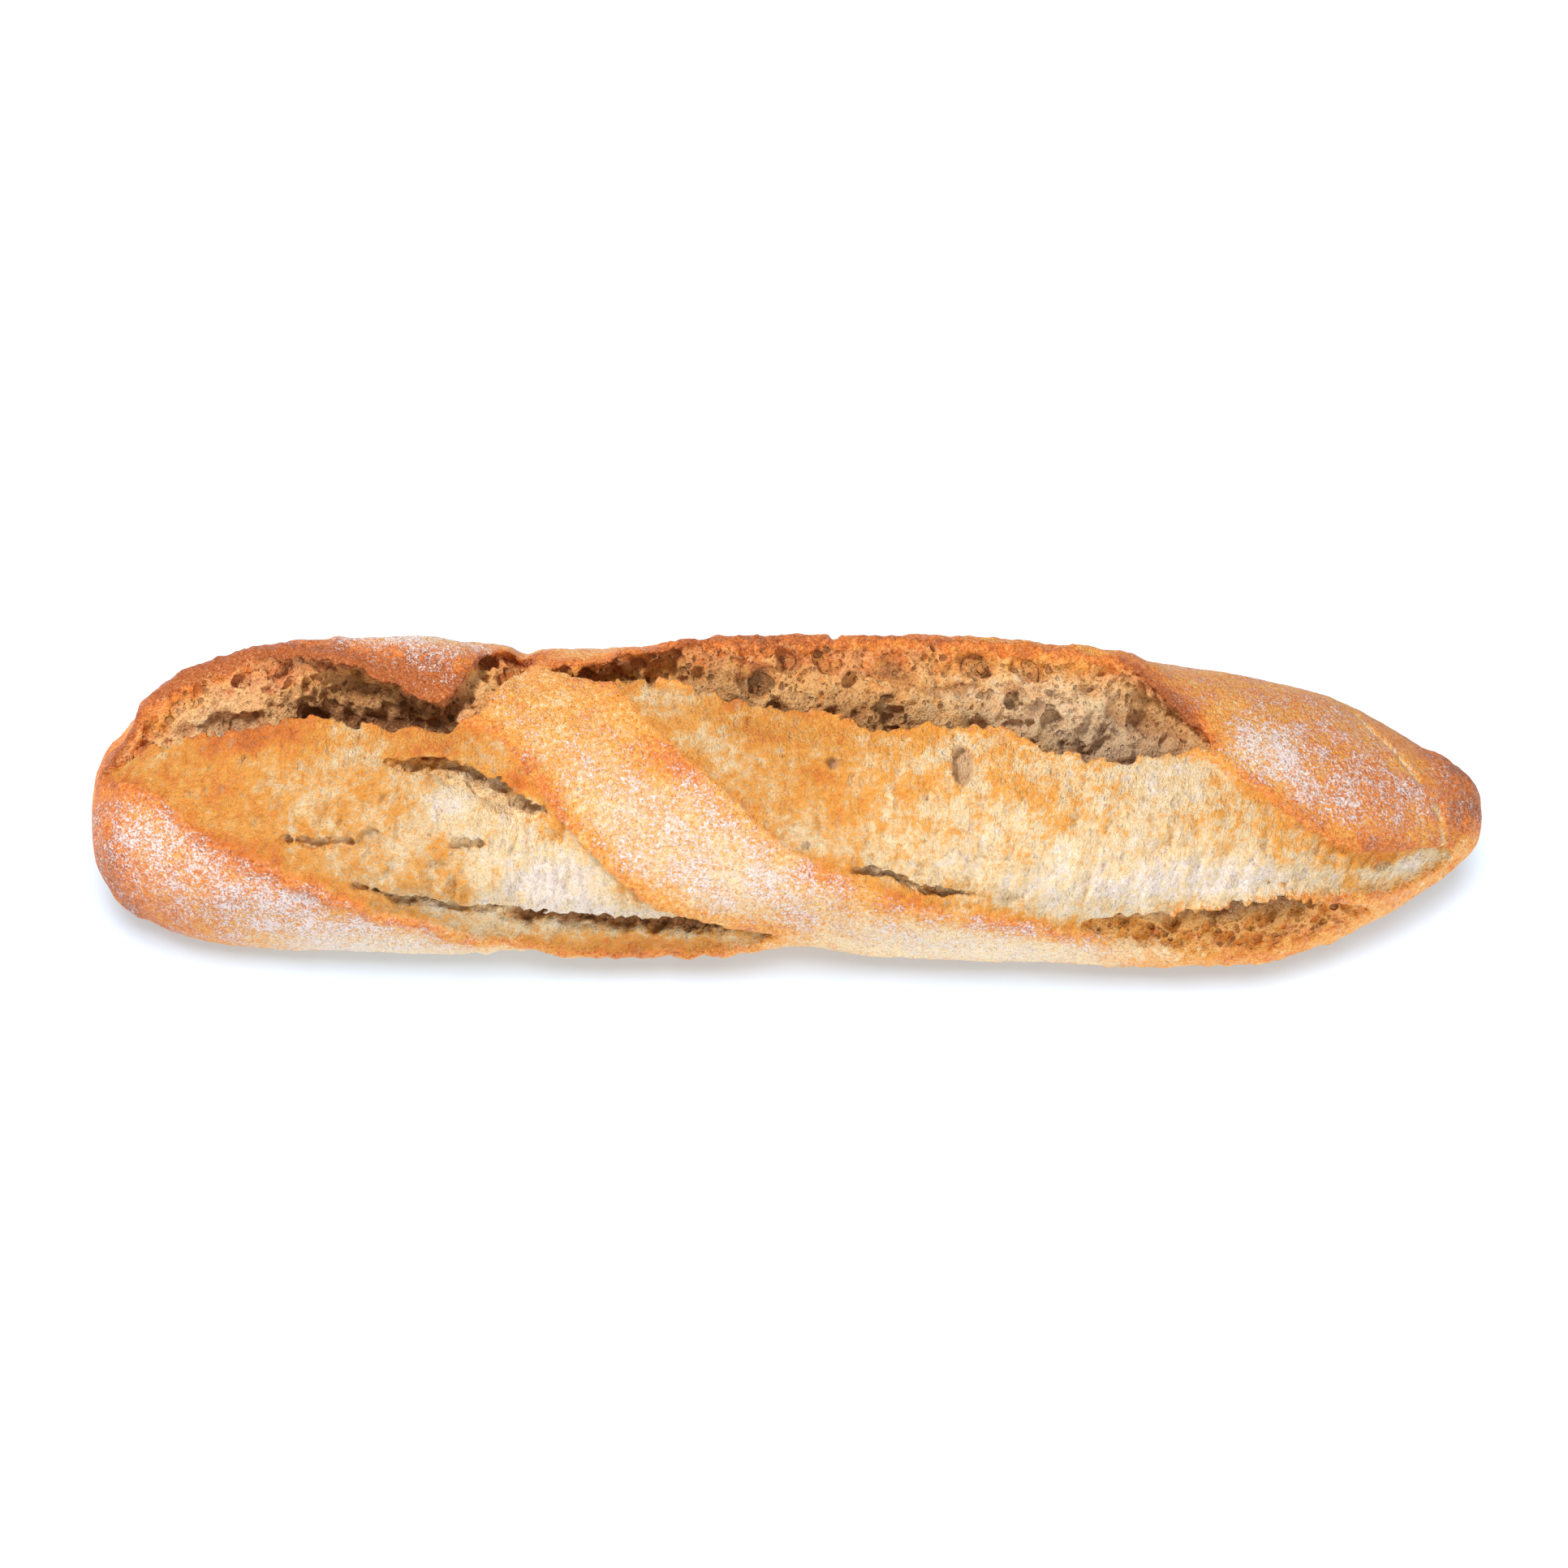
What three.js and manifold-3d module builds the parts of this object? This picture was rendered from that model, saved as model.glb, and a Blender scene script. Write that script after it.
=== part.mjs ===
// A short rustic baguette, baked as one piece and lying on its flat base.
// Millimetres: +X along the loaf, +Y to its back, +Z up, with the origin under its middle.
//
// Places on the loaf are given by a station x along it and a turn around it, in degrees:
// 0 at the front, 90 on top and 180 at the back.
import * as THREE from "three";
import { mergeVertices } from "three/addons/utils/BufferGeometryUtils.js";
import Module from "manifold-3d";

const wasm = await Module();
wasm.setup();

// ---- Driving dimensions ----
const LENGTH = 320;
const CROWN_PER_HALF_WIDTH = 0.795; // height of the crust above the axis
const BELLY_PER_HALF_WIDTH = 0.8; // depth of the crust below the axis
const CROWN_ROUNDNESS = 2.1; // exponent of the section above the axis
const BELLY_ROUNDNESS = 2.7; // a fuller section below it
const EAR_LIFT = 4.5; // how far the torn ears stand up
const RELIEF = 8; // how far a cutter reaches above the crust
const TORN_RECESS = 1.6; // the opened faces lie this far below the crust
const MIDDLE_Y = 1.05; // sets the middle of the width at y = 0

const AROUND = 48;
const ALONG = 52;
// How finely a cutter is divided along, across and down, and its least width in degrees.
const EXTRA_STEPS = 4;
const CUTTER_WIDTHS = 2;
const CUTTER_LEVELS = 3;
const LEAST_TURN = 1;

// Station, half width, and how far the axis lies to the back.
const OUTLINE = [
  [-160, 0, 1.3],
  [-159, 11.5, 1.3],
  [-153, 21.2, 1.3],
  [-147, 26.3, 2.5],
  [-136, 31.8, 3.2],
  [-125, 34.5, 3.4],
  [-106, 36.6, 3.1],
  [-88, 37.3, 3.0],
  [-46, 36.3, 0.8],
  [0, 37.4, 2.0],
  [50, 37.8, 0.6],
  [71, 37.0, -1.3],
  [89, 35.2, -2.9],
  [108, 33.3, -3.6],
  [126, 28.1, -1.9],
  [143, 19.3, -0.3],
  [154, 12.0, 1.6],
  [157.5, 9.0, 2.0],
  [159.3, 5.8, 2.0],
  [160, 0, 2.0],
];
const AXIS_HEIGHT = [
  [-160, 21],
  [-140, 23],
  [-100, 27],
  [0, 28],
  [90, 27.5],
  [130, 24],
  [160, 20],
];
// The two ears: first and last station, and the turn of the raised rim.
const EAR_RIMS = [
  { from: -152, to: -66, rim: 122 },
  { from: -46, to: 94, rim: 122 },
];
const EAR_RISE = 25; // the ear grows to its full height over this length
const EAR_FALL = 18; // and dies away over this one
// An ear's slopes, in degrees of turn from its rim.
const EAR_FRONT_FOOT = 45;
const EAR_FRONT_TOP = 5;
const EAR_BACK_FOOT = 24;

// ---- The openings ----
// Each row is a station, the turns of the front and back edges, the depth, and how far the
// front and back walls lean in over that depth. A wall that leans out runs under its lip.
const LEFT_HOLLOW = [
  [-154, 80, 96, 1, 0, 0],
  [-151, 84, 108, 2, 0, 2],
  [-147, 87, 116, 3.5, 0, 4],
  [-139, 84, 120, 6, -1, 8],
  [-124, 83, 121, 8, -2, 8],
  [-111, 86, 117, 11, -3, 2],
  [-103, 84, 110, 13, -4, -4],
  [-96, 81, 104, 13, -4, -6],
  [-89, 79, 98, 13, -3, -6],
  [-80, 78, 90, 11, -2, -5],
  [-76, 79, 92, 8, -1, -4],
  [-73, 82, 106, 4, 1, -3],
  [-70, 85, 124, 3, 1, -2],
  [-66, 100, 132, 3, 1, -3],
  [-62, 120, 136, 4, 0, -3],
  [-58, 126, 136, 2, 0, -1],
];
// A cave under the left hollow's crumb.
const LEFT_CAVE = [
  [-113, 95, 99, 10, 0, 0],
  [-108, 93, 99, 18, 0, -5],
  [-98, 90, 96, 18, 0, -5],
  [-88, 87, 93, 18, 0, -5],
  [-80, 86, 91, 16, 0, -4],
  [-76, 87, 90, 10, 0, 0],
];
const RIGHT_HOLLOW = [
  [-54, 119, 124, 2, 0, 0],
  [-46, 113, 123, 6, -1, -2],
  [-40, 110, 124, 8, -1, -4],
  [-31, 106, 122, 10, -3, -4],
  [-22, 101, 122, 12, -4, 1],
  [-13, 95, 123, 13, -4, 8],
  [8, 87, 123, 14, -5, 10],
  [22, 80, 122, 14, -5, 11],
  [35, 83, 121, 14, -5, 10],
  [48, 80, 120, 14, -5, 10],
  [62, 70, 118, 14, -5, 9],
  [74, 70, 117, 12, -4, 2],
  [83, 76, 108, 11, -3, -6],
  [89, 78, 96, 9, -1, -7],
  [95, 79, 84, 4, 0, -3],
];
const LOW_RIGHT_HOLLOW = [
  [66, -3, 1, 1, 0, 0],
  [74, -11, 4, 6, 4, -3],
  [86, -16, 7, 10, 8, -5],
  [97, -20, 10, 12, 11, -7],
  [108, -19, 13.5, 12, 11, -8],
  [115, -18, 13, 10, 9, -8],
  [120, -16, 8, 7, 6, -4],
  [126, -15, 2, 4, 3, -2],
  [132, -13, -6, 1, 0, 0],
];
const RIDGE_CRACK = [
  [-91, 60, 62, 1, 0, 0],
  [-84, 56, 63, 3.5, 2, -3],
  [-78, 52, 62, 4.5, 4, -4],
  [-71, 47, 60, 5, 5, -4],
  [-64, 40, 54, 5, 5, -4],
  [-58, 37, 47, 4.5, 4, -3],
  [-54, 41, 45, 2, 0, 0],
];
const LOW_LEFT_CRACK = [
  [-98, 12, 14, 2, 0, -1],
  [-92, 8, 11, 3, 0, -2],
  [-86, 4.5, 8, 3.5, 0, -2],
  [-79, 2.5, 6, 3, 0, -2],
  [-72, 1, 5, 3.5, 0, -2],
  [-64, -1, 4.5, 4, 0, -2],
  [-54, 0, 3, 2, 0, 0],
];
const LOW_MIDDLE_CRACK = [
  [-66, -3, -1, 1, 0, 0],
  [-58, -9, -1, 4, 1, -3],
  [-48, -11, -1.5, 6, 2, -5],
  [-38, -12, -2.5, 7, 2, -5],
  [-28, -13, -4, 7, 2, -5],
  [-18, -14, -6, 6, 1, -4],
  [-8, -16, -10.5, 4, 1, -2],
  [-2, -16, -14, 1, 0, 0],
];
const SEAM_CRACK = [
  [14, 18, 20, 1, 0, 0],
  [20, 18, 20.5, 3, 0, -2],
  [25, 15, 18.5, 4, 0, -2],
  [29, 11.5, 15, 4, 0, -2],
  [37, 10.5, 13.5, 3.5, 0, -1],
  [42, 11, 13, 1, 0, 0],
];
const DEEP_OPENINGS = [
  LEFT_HOLLOW,
  LEFT_CAVE,
  RIGHT_HOLLOW,
  LOW_RIGHT_HOLLOW,
  RIDGE_CRACK,
  LOW_LEFT_CRACK,
  LOW_MIDDLE_CRACK,
  SEAM_CRACK,
];

// The faces that opened along the two slashes: station, and the turns of the edges.
const LEFT_FACE = [
  [-156, 76, 89],
  [-150, 67, 91],
  [-142, 53, 86],
  [-132, 36, 84],
  [-112, 19, 87],
  [-104, 13, 85],
  [-90, 1, 79],
  [-82, -3, 80],
  [-72, -12, 81],
  [-65, -14, 75],
  [-59, -16, 61],
  [-47, -22, 33],
  [-30, -22, 7],
  [-10, -19, -8],
  [-4, -15, -12],
];
const RIGHT_FACE = [
  [-50, 120, 123],
  [-40, 109, 112],
  [-34, 88, 108],
  [-22, 63, 100],
  [-5, 36, 94],
  [6, 22, 88],
  [14, 17, 83],
  [29, 7, 83],
  [45, 4, 81],
  [62, -2, 70],
  [69, -4, 70],
  [88, 8, 78],
  [101, 13, 66],
  [112, 16, 50],
  [125, 10, 34],
  [132, 6, 30],
  [140, 2, 27],
  [147, 2, 22],
  [151, 6, 16],
];
const OPENED_FACES = [LEFT_FACE, RIGHT_FACE];

// ---- The loaf's crust as a function of station and turn ----

// A smooth curve that never overshoots, through rows of [x, ...values].
function along(rows, column, x, shape = (v) => v) {
  const last = rows.length - 1;
  const at = THREE.MathUtils.clamp(x, rows[0][0], rows[last][0]);
  const value = (i) => shape(rows[i][column]);
  const slope = (i) => (value(i + 1) - value(i)) / (rows[i + 1][0] - rows[i][0]);
  const tangent = (i) => {
    if (i === 0) return slope(0);
    if (i === last) return slope(last - 1);
    const a = slope(i - 1);
    const b = slope(i);
    return a * b > 0 ? (2 * a * b) / (a + b) : 0;
  };
  let i = 0;
  while (i < last - 1 && rows[i + 1][0] <= at) i++;
  const span = rows[i + 1][0] - rows[i][0];
  const t = (at - rows[i][0]) / span;
  return (
    (2 * t ** 3 - 3 * t ** 2 + 1) * value(i) +
    (t ** 3 - 2 * t ** 2 + t) * span * tangent(i) +
    (3 * t ** 2 - 2 * t ** 3) * value(i + 1) +
    (t ** 3 - t ** 2) * span * tangent(i + 1)
  );
}

// The half width's square is what runs smoothly, so the two ends come out round.
function halfWidth(x) {
  return Math.sqrt(Math.max(along(OUTLINE, 1, x, (v) => v * v), 0));
}

function earLift(x, turn) {
  const { smoothstep } = THREE.MathUtils;
  let lift = 0;
  for (const ear of EAR_RIMS) {
    const rise = smoothstep(x, ear.from, ear.from + EAR_RISE);
    const fall = 1 - smoothstep(x, ear.to - EAR_FALL, ear.to);
    const back = 1 - smoothstep(turn, ear.rim, ear.rim + EAR_BACK_FOOT);
    const front = smoothstep(turn, ear.rim - EAR_FRONT_FOOT, ear.rim - EAR_FRONT_TOP);
    lift += EAR_LIFT * rise * fall * back * front;
  }
  return lift;
}

function crustRadius(x, turn) {
  const angle = THREE.MathUtils.degToRad(turn);
  const wide = Math.max(halfWidth(x), 1e-6);
  const above = Math.sin(angle) > 0;
  const tall = wide * (above ? CROWN_PER_HALF_WIDTH : BELLY_PER_HALF_WIDTH);
  const power = above ? CROWN_ROUNDNESS : BELLY_ROUNDNESS;
  const across = Math.abs(Math.cos(angle) / wide) ** power;
  const up = Math.abs(Math.sin(angle) / tall) ** power;
  const radius = (across + up) ** (-1 / power) + earLift(x, turn);
  const toFloor = above ? Infinity : along(AXIS_HEIGHT, 1, x) / Math.max(-Math.sin(angle), 1e-6);
  return Math.min(radius, toFloor);
}

// The point that lies a given depth under the crust.
function place(x, turn, depth) {
  const angle = THREE.MathUtils.degToRad(turn);
  const reach = crustRadius(x, turn) - depth;
  const y = along(OUTLINE, 2, x) - MIDDLE_Y - reach * Math.cos(angle);
  return [x, y, along(AXIS_HEIGHT, 1, x) + reach * Math.sin(angle)];
}

// ---- Solids ----

function solidFrom(geometry) {
  geometry.deleteAttribute("normal");
  geometry.deleteAttribute("uv");
  const merged = mergeVertices(geometry, 1e-4);
  return new wasm.Manifold(
    new wasm.Mesh({
      numProp: 3,
      vertProperties: merged.attributes.position.array,
      triVerts: new Uint32Array(merged.index.array),
    }),
  );
}

function geometryFrom(solid) {
  const mesh = solid.getMesh();
  const geometry = new THREE.BufferGeometry();
  geometry.setAttribute("position", new THREE.BufferAttribute(mesh.vertProperties, 3));
  geometry.setIndex(new THREE.BufferAttribute(mesh.triVerts, 1));
  geometry.computeVertexNormals();
  return geometry;
}

// A unit sphere with its poles at the loaf's two ends, moved out to the crust.
function loafBody() {
  const geometry = new THREE.SphereGeometry(1, AROUND, ALONG).rotateZ(-Math.PI / 2);
  const points = geometry.attributes.position;
  for (let i = 0; i < points.count; i++) {
    const x = (points.getX(i) * LENGTH) / 2;
    const turn = THREE.MathUtils.radToDeg(Math.atan2(points.getZ(i), -points.getY(i)));
    points.setXYZ(i, ...place(x, turn < -90 ? turn + 360 : turn, 0));
  }
  return solidFrom(geometry);
}

// A box bent along the crust, from above it down to the depth in its rows.
function bentBox(rows, depthAt, leansAt) {
  const steps = rows.length + EXTRA_STEPS;
  const geometry = new THREE.BoxGeometry(1, 1, 1, steps, CUTTER_WIDTHS, CUTTER_LEVELS);
  const points = geometry.attributes.position;
  const first = rows[0][0];
  const last = rows[rows.length - 1][0];
  for (let i = 0; i < points.count; i++) {
    const x = THREE.MathUtils.lerp(first, last, points.getX(i) + 0.5);
    const down = Math.round((0.5 - points.getZ(i)) * CUTTER_LEVELS);
    const share = Math.max(down - 1, 0) / (CUTTER_LEVELS - 1);
    const depth = down === 0 ? -RELIEF : share * depthAt(x);
    const [frontLean, backLean] = leansAt(x).map((mm) =>
      THREE.MathUtils.radToDeg((mm * share) / (crustRadius(x, 90) - depth)),
    );
    const front = along(rows, 1, x) + frontLean;
    const back = Math.max(along(rows, 2, x) - backLean, front + LEAST_TURN);
    const turn = THREE.MathUtils.lerp(front, back, points.getY(i) + 0.5);
    points.setXYZ(i, ...place(x, turn, depth));
  }
  return solidFrom(geometry);
}

function deepOpening(rows) {
  return bentBox(
    rows,
    (x) => along(rows, 3, x),
    (x) => [along(rows, 4, x), along(rows, 5, x)],
  );
}

function openedFace(rows) {
  return bentBox(
    rows,
    () => TORN_RECESS,
    () => [0, 0],
  );
}

function loaf() {
  let solid = loafBody();
  for (const rows of OPENED_FACES) solid = solid.subtract(openedFace(rows));
  for (const rows of DEEP_OPENINGS) solid = solid.subtract(deepOpening(rows));
  // Where two openings meet they leave loose slivers, which fall away.
  const pieces = solid.decompose().sort((a, b) => b.volume() - a.volume());
  const crust = new THREE.MeshStandardMaterial({
    color: new THREE.Color(0.72, 0.42, 0.19),
    roughness: 0.8,
    metalness: 0,
  });
  const mesh = new THREE.Mesh(geometryFrom(pieces[0]), crust);
  mesh.name = "loaf";
  return mesh;
}

const baguette = new THREE.Group();
baguette.add(loaf());

export default baguette;
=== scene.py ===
"""A short rustic baguette, baked as one piece and torn open along its two slashes.

Sizes in the tables are millimetres. Places on the loaf are a station along it and a turn
round it in degrees: 0 at the front, 90 on top and 180 at the back.
"""

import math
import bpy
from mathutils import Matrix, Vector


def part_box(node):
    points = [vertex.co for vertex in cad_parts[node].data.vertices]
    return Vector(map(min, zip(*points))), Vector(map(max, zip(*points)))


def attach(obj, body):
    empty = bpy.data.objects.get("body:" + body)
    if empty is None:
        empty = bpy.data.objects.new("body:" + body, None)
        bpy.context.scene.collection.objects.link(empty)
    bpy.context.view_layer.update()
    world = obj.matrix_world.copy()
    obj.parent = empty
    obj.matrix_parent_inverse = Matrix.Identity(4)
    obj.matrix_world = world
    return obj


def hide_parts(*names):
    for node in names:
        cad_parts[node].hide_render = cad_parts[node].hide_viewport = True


bl_info = {
    "name": "Rustic Baguette",
    "version": (1, 0, 0),
    "blender": (4, 5, 0),
    "location": "View3D > Sidebar > Baguette",
    "description": "Bakes a short rustic baguette with a torn crust and an open crumb",
    "category": "Object",
}

import bmesh
import bpy
import numpy as np
from bpy.props import FloatProperty, FloatVectorProperty, IntProperty, PointerProperty
from mathutils import Matrix, Vector
from mathutils.kdtree import KDTree

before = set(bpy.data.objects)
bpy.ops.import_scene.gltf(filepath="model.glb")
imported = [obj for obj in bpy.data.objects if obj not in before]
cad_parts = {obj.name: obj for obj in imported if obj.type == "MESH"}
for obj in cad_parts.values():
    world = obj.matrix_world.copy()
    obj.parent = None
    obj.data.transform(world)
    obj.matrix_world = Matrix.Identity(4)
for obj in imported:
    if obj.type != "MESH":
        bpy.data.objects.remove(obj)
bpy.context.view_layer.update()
LOAF_LOW, LOAF_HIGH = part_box("loaf")
LENGTH = 320.0  # of the loaf in the tables
MM = (LOAF_HIGH[0] - LOAF_LOW[0]) / LENGTH  # metres in one millimetre of the tables

# ---- The loaf's form ----
CROWN_PER_HALF_WIDTH = 0.795  # height of the crust above the axis
BELLY_PER_HALF_WIDTH = 0.8  # depth of the crust below the axis
CROWN_ROUNDNESS = 2.1  # exponent of the section above the axis
BELLY_ROUNDNESS = 2.7  # a fuller section below it
EAR_LIFT = 4.5  # how far the torn ears stand up
EAR_START, EAR_END = 25, 18  # how far along the loaf an ear takes to rise and to fall
EAR_FOOT, EAR_TOP, EAR_BACK = 45, 5, 24  # degrees before its rim where an ear rises, and after it
RELIEF = 8.0  # how far an opening's cutter reaches above the crust
MIDDLE_Y = 1.05  # the outline's zero lies this far in front of the middle of the loaf's width
MEAN_RADIUS = 33.0  # of the crust, which turns degrees round the loaf into millimetres
TINY = 1e-6  # keeps a division from meeting zero

# Station, half width, and how far the axis lies to the back.
OUTLINE = [
    (-160, 0, 1.3),
    (-159, 11.5, 1.3),
    (-153, 21.2, 1.3),
    (-147, 26.3, 2.5),
    (-136, 31.8, 3.2),
    (-125, 34.5, 3.4),
    (-106, 36.6, 3.1),
    (-88, 37.3, 3.0),
    (-46, 36.3, 0.8),
    (0, 37.4, 2.0),
    (50, 37.8, 0.6),
    (71, 37.0, -1.3),
    (89, 35.2, -2.9),
    (108, 33.3, -3.6),
    (126, 28.1, -1.9),
    (143, 19.3, -0.3),
    (154, 12.0, 1.6),
    (157.5, 9.0, 2.0),
    (159.3, 5.8, 2.0),
    (160, 0, 2.0),
]
AXIS_HEIGHT = [(-160, 21), (-140, 23), (-100, 27), (0, 28), (90, 27.5), (130, 24), (160, 20)]
# The two ears: first and last station, and the turn of the raised rim.
EAR_RIMS = [(-152, -66, 122), (-46, 94, 122)]

# Each opening's rows: station, the turns of its front and back edges, its depth, and how far
# the front and back walls lean in over that depth. A wall that leans out runs under its lip.
LEFT_HOLLOW = [
    (-154, 80, 96, 1, 0, 0),
    (-151, 84, 108, 2, 0, 2),
    (-147, 87, 116, 3.5, 0, 4),
    (-139, 84, 120, 6, -1, 8),
    (-124, 83, 121, 8, -2, 8),
    (-111, 86, 117, 11, -3, 2),
    (-103, 84, 110, 13, -4, -4),
    (-96, 81, 104, 13, -4, -6),
    (-89, 79, 98, 13, -3, -6),
    (-80, 78, 90, 11, -2, -5),
    (-76, 79, 92, 8, -1, -4),
    (-73, 82, 106, 4, 1, -3),
    (-70, 85, 124, 3, 1, -2),
    (-66, 100, 132, 3, 1, -3),
    (-62, 120, 136, 4, 0, -3),
    (-58, 126, 136, 2, 0, -1),
]
# A cave under the left hollow's crumb.
LEFT_CAVE = [
    (-113, 95, 99, 10, 0, 0),
    (-108, 93, 99, 18, 0, -5),
    (-98, 90, 96, 18, 0, -5),
    (-88, 87, 93, 18, 0, -5),
    (-80, 86, 91, 16, 0, -4),
    (-76, 87, 90, 10, 0, 0),
]
RIGHT_HOLLOW = [
    (-54, 119, 124, 2, 0, 0),
    (-46, 113, 123, 6, -1, -2),
    (-40, 110, 124, 8, -1, -4),
    (-31, 106, 122, 10, -3, -4),
    (-22, 101, 122, 12, -4, 1),
    (-13, 95, 123, 13, -4, 8),
    (8, 87, 123, 14, -5, 10),
    (22, 80, 122, 14, -5, 11),
    (35, 83, 121, 14, -5, 10),
    (48, 80, 120, 14, -5, 10),
    (62, 70, 118, 14, -5, 9),
    (74, 70, 117, 12, -4, 2),
    (83, 76, 108, 11, -3, -6),
    (89, 78, 96, 9, -1, -7),
    (95, 79, 84, 4, 0, -3),
]
LOW_RIGHT_HOLLOW = [
    (66, -3, 1, 1, 0, 0),
    (74, -11, 4, 6, 4, -3),
    (86, -16, 7, 10, 8, -5),
    (97, -20, 10, 12, 11, -7),
    (108, -19, 13.5, 12, 11, -8),
    (115, -18, 13, 10, 9, -8),
    (120, -16, 8, 7, 6, -4),
    (126, -15, 2, 4, 3, -2),
    (132, -13, -6, 1, 0, 0),
]
RIDGE_CRACK = [
    (-91, 60, 62, 1, 0, 0),
    (-84, 56, 63, 3.5, 2, -3),
    (-78, 52, 62, 4.5, 4, -4),
    (-71, 47, 60, 5, 5, -4),
    (-64, 40, 54, 5, 5, -4),
    (-58, 37, 47, 4.5, 4, -3),
    (-54, 41, 45, 2, 0, 0),
]
LOW_LEFT_CRACK = [
    (-98, 12, 14, 2, 0, -1),
    (-92, 8, 11, 3, 0, -2),
    (-86, 4.5, 8, 3.5, 0, -2),
    (-79, 2.5, 6, 3, 0, -2),
    (-72, 1, 5, 3.5, 0, -2),
    (-64, -1, 4.5, 4, 0, -2),
    (-54, 0, 3, 2, 0, 0),
]
LOW_MIDDLE_CRACK = [
    (-66, -3, -1, 1, 0, 0),
    (-58, -9, -1, 4, 1, -3),
    (-48, -11, -1.5, 6, 2, -5),
    (-38, -12, -2.5, 7, 2, -5),
    (-28, -13, -4, 7, 2, -5),
    (-18, -14, -6, 6, 1, -4),
    (-8, -16, -10.5, 4, 1, -2),
    (-2, -16, -14, 1, 0, 0),
]
SEAM_CRACK = [
    (14, 18, 20, 1, 0, 0),
    (20, 18, 20.5, 3, 0, -2),
    (25, 15, 18.5, 4, 0, -2),
    (29, 11.5, 15, 4, 0, -2),
    (37, 10.5, 13.5, 3.5, 0, -1),
    (42, 11, 13, 1, 0, 0),
]
SMALL_CRACK = [
    (-115, 32, 33.5, 1, 0, 0),
    (-111, 29, 31.5, 2, 0, -1),
    (-99, 28, 31, 2, 0, -1),
    (-94, 30, 31, 1, 0, 0),
]
SHORT_CRACK = [
    (-76, 29, 30, 1, 0, 0),
    (-73, 28, 31.5, 2.5, 0, -1),
    (-69, 28.5, 31, 2, 0, -1),
    (-66, 29, 30, 1, 0, 0),
]
# Each opening with how ragged its walls are.
OPENINGS = [
    ("Left_Hollow", LEFT_HOLLOW, 1.0),
    ("Left_Cave", LEFT_CAVE, 1.0),
    ("Right_Hollow", RIGHT_HOLLOW, 1.1),
    ("Low_Right_Hollow", LOW_RIGHT_HOLLOW, 0.8),
    ("Ridge_Crack", RIDGE_CRACK, 0.9),
    ("Low_Left_Crack", LOW_LEFT_CRACK, 0.7),
    ("Low_Middle_Crack", LOW_MIDDLE_CRACK, 0.8),
    ("Seam_Crack", SEAM_CRACK, 0.45),
    ("Small_Crack", SMALL_CRACK, 0.6),
    ("Short_Crack", SHORT_CRACK, 0.5),
]

# The faces that opened along the two slashes: station, and the turns of the edges.
LEFT_FACE = [
    (-156, 76, 89),
    (-150, 67, 91),
    (-142, 53, 86),
    (-132, 36, 84),
    (-112, 19, 87),
    (-104, 13, 85),
    (-90, 1, 79),
    (-82, -3, 80),
    (-72, -12, 81),
    (-65, -14, 75),
    (-59, -16, 61),
    (-47, -22, 33),
    (-30, -22, 7),
    (-10, -19, -8),
    (-4, -15, -12),
]
RIGHT_FACE = [
    (-50, 120, 123),
    (-40, 109, 112),
    (-34, 88, 108),
    (-22, 63, 100),
    (-5, 36, 94),
    (6, 22, 88),
    (14, 17, 83),
    (29, 7, 83),
    (45, 4, 81),
    (62, -2, 70),
    (69, -4, 70),
    (88, 8, 78),
    (101, 13, 66),
    (112, 16, 50),
    (125, 10, 34),
    (132, 6, 30),
    (140, 2, 27),
    (147, 2, 22),
    (151, 6, 16),
]

# Big bubbles in the hollows' walls: station, turn, depth, and the half sizes along the loaf,
# round it and inwards.
BUBBLES = [
    (-25, 115, 4, 1.8, 1.3, 2.6),
    (-16, 103, 9, 3.0, 1.9, 3.2),
    (-6, 111, 6, 2.0, 1.5, 2.6),
    (-1, 118, 3, 1.6, 1.1, 2.4),
    (7, 117, 3, 1.9, 1.5, 2.2),
    (31, 116, 3, 3.0, 1.4, 2.6),
    (23, 101, 9, 3.4, 2.0, 3.4),
    (25, 92, 13, 1.8, 1.4, 2.4),
    (32, 96, 12, 1.9, 1.4, 2.2),
    (42, 115, 3, 2.2, 1.4, 2.2),
    (51, 105, 8, 2.6, 2.0, 2.2),
    (60, 100, 9, 2.6, 2.0, 2.2),
    (15, 110, 6, 3.0, 2.0, 2.0),
    (70, 97, 8, 2.4, 1.8, 2.0),
    (-124, 112, 3, 2.6, 1.3, 2.8),
    (-118, 116, 2, 1.9, 1.3, 2.0),
    (-131, 112, 3, 2.0, 1.2, 2.0),
    (-109, 93, 8, 4.0, 2.0, 4.0),
    (-139, 108, 3, 1.8, 1.3, 1.8),
    (114, 9, 4, 3.4, 1.8, 3.6),
]
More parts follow.
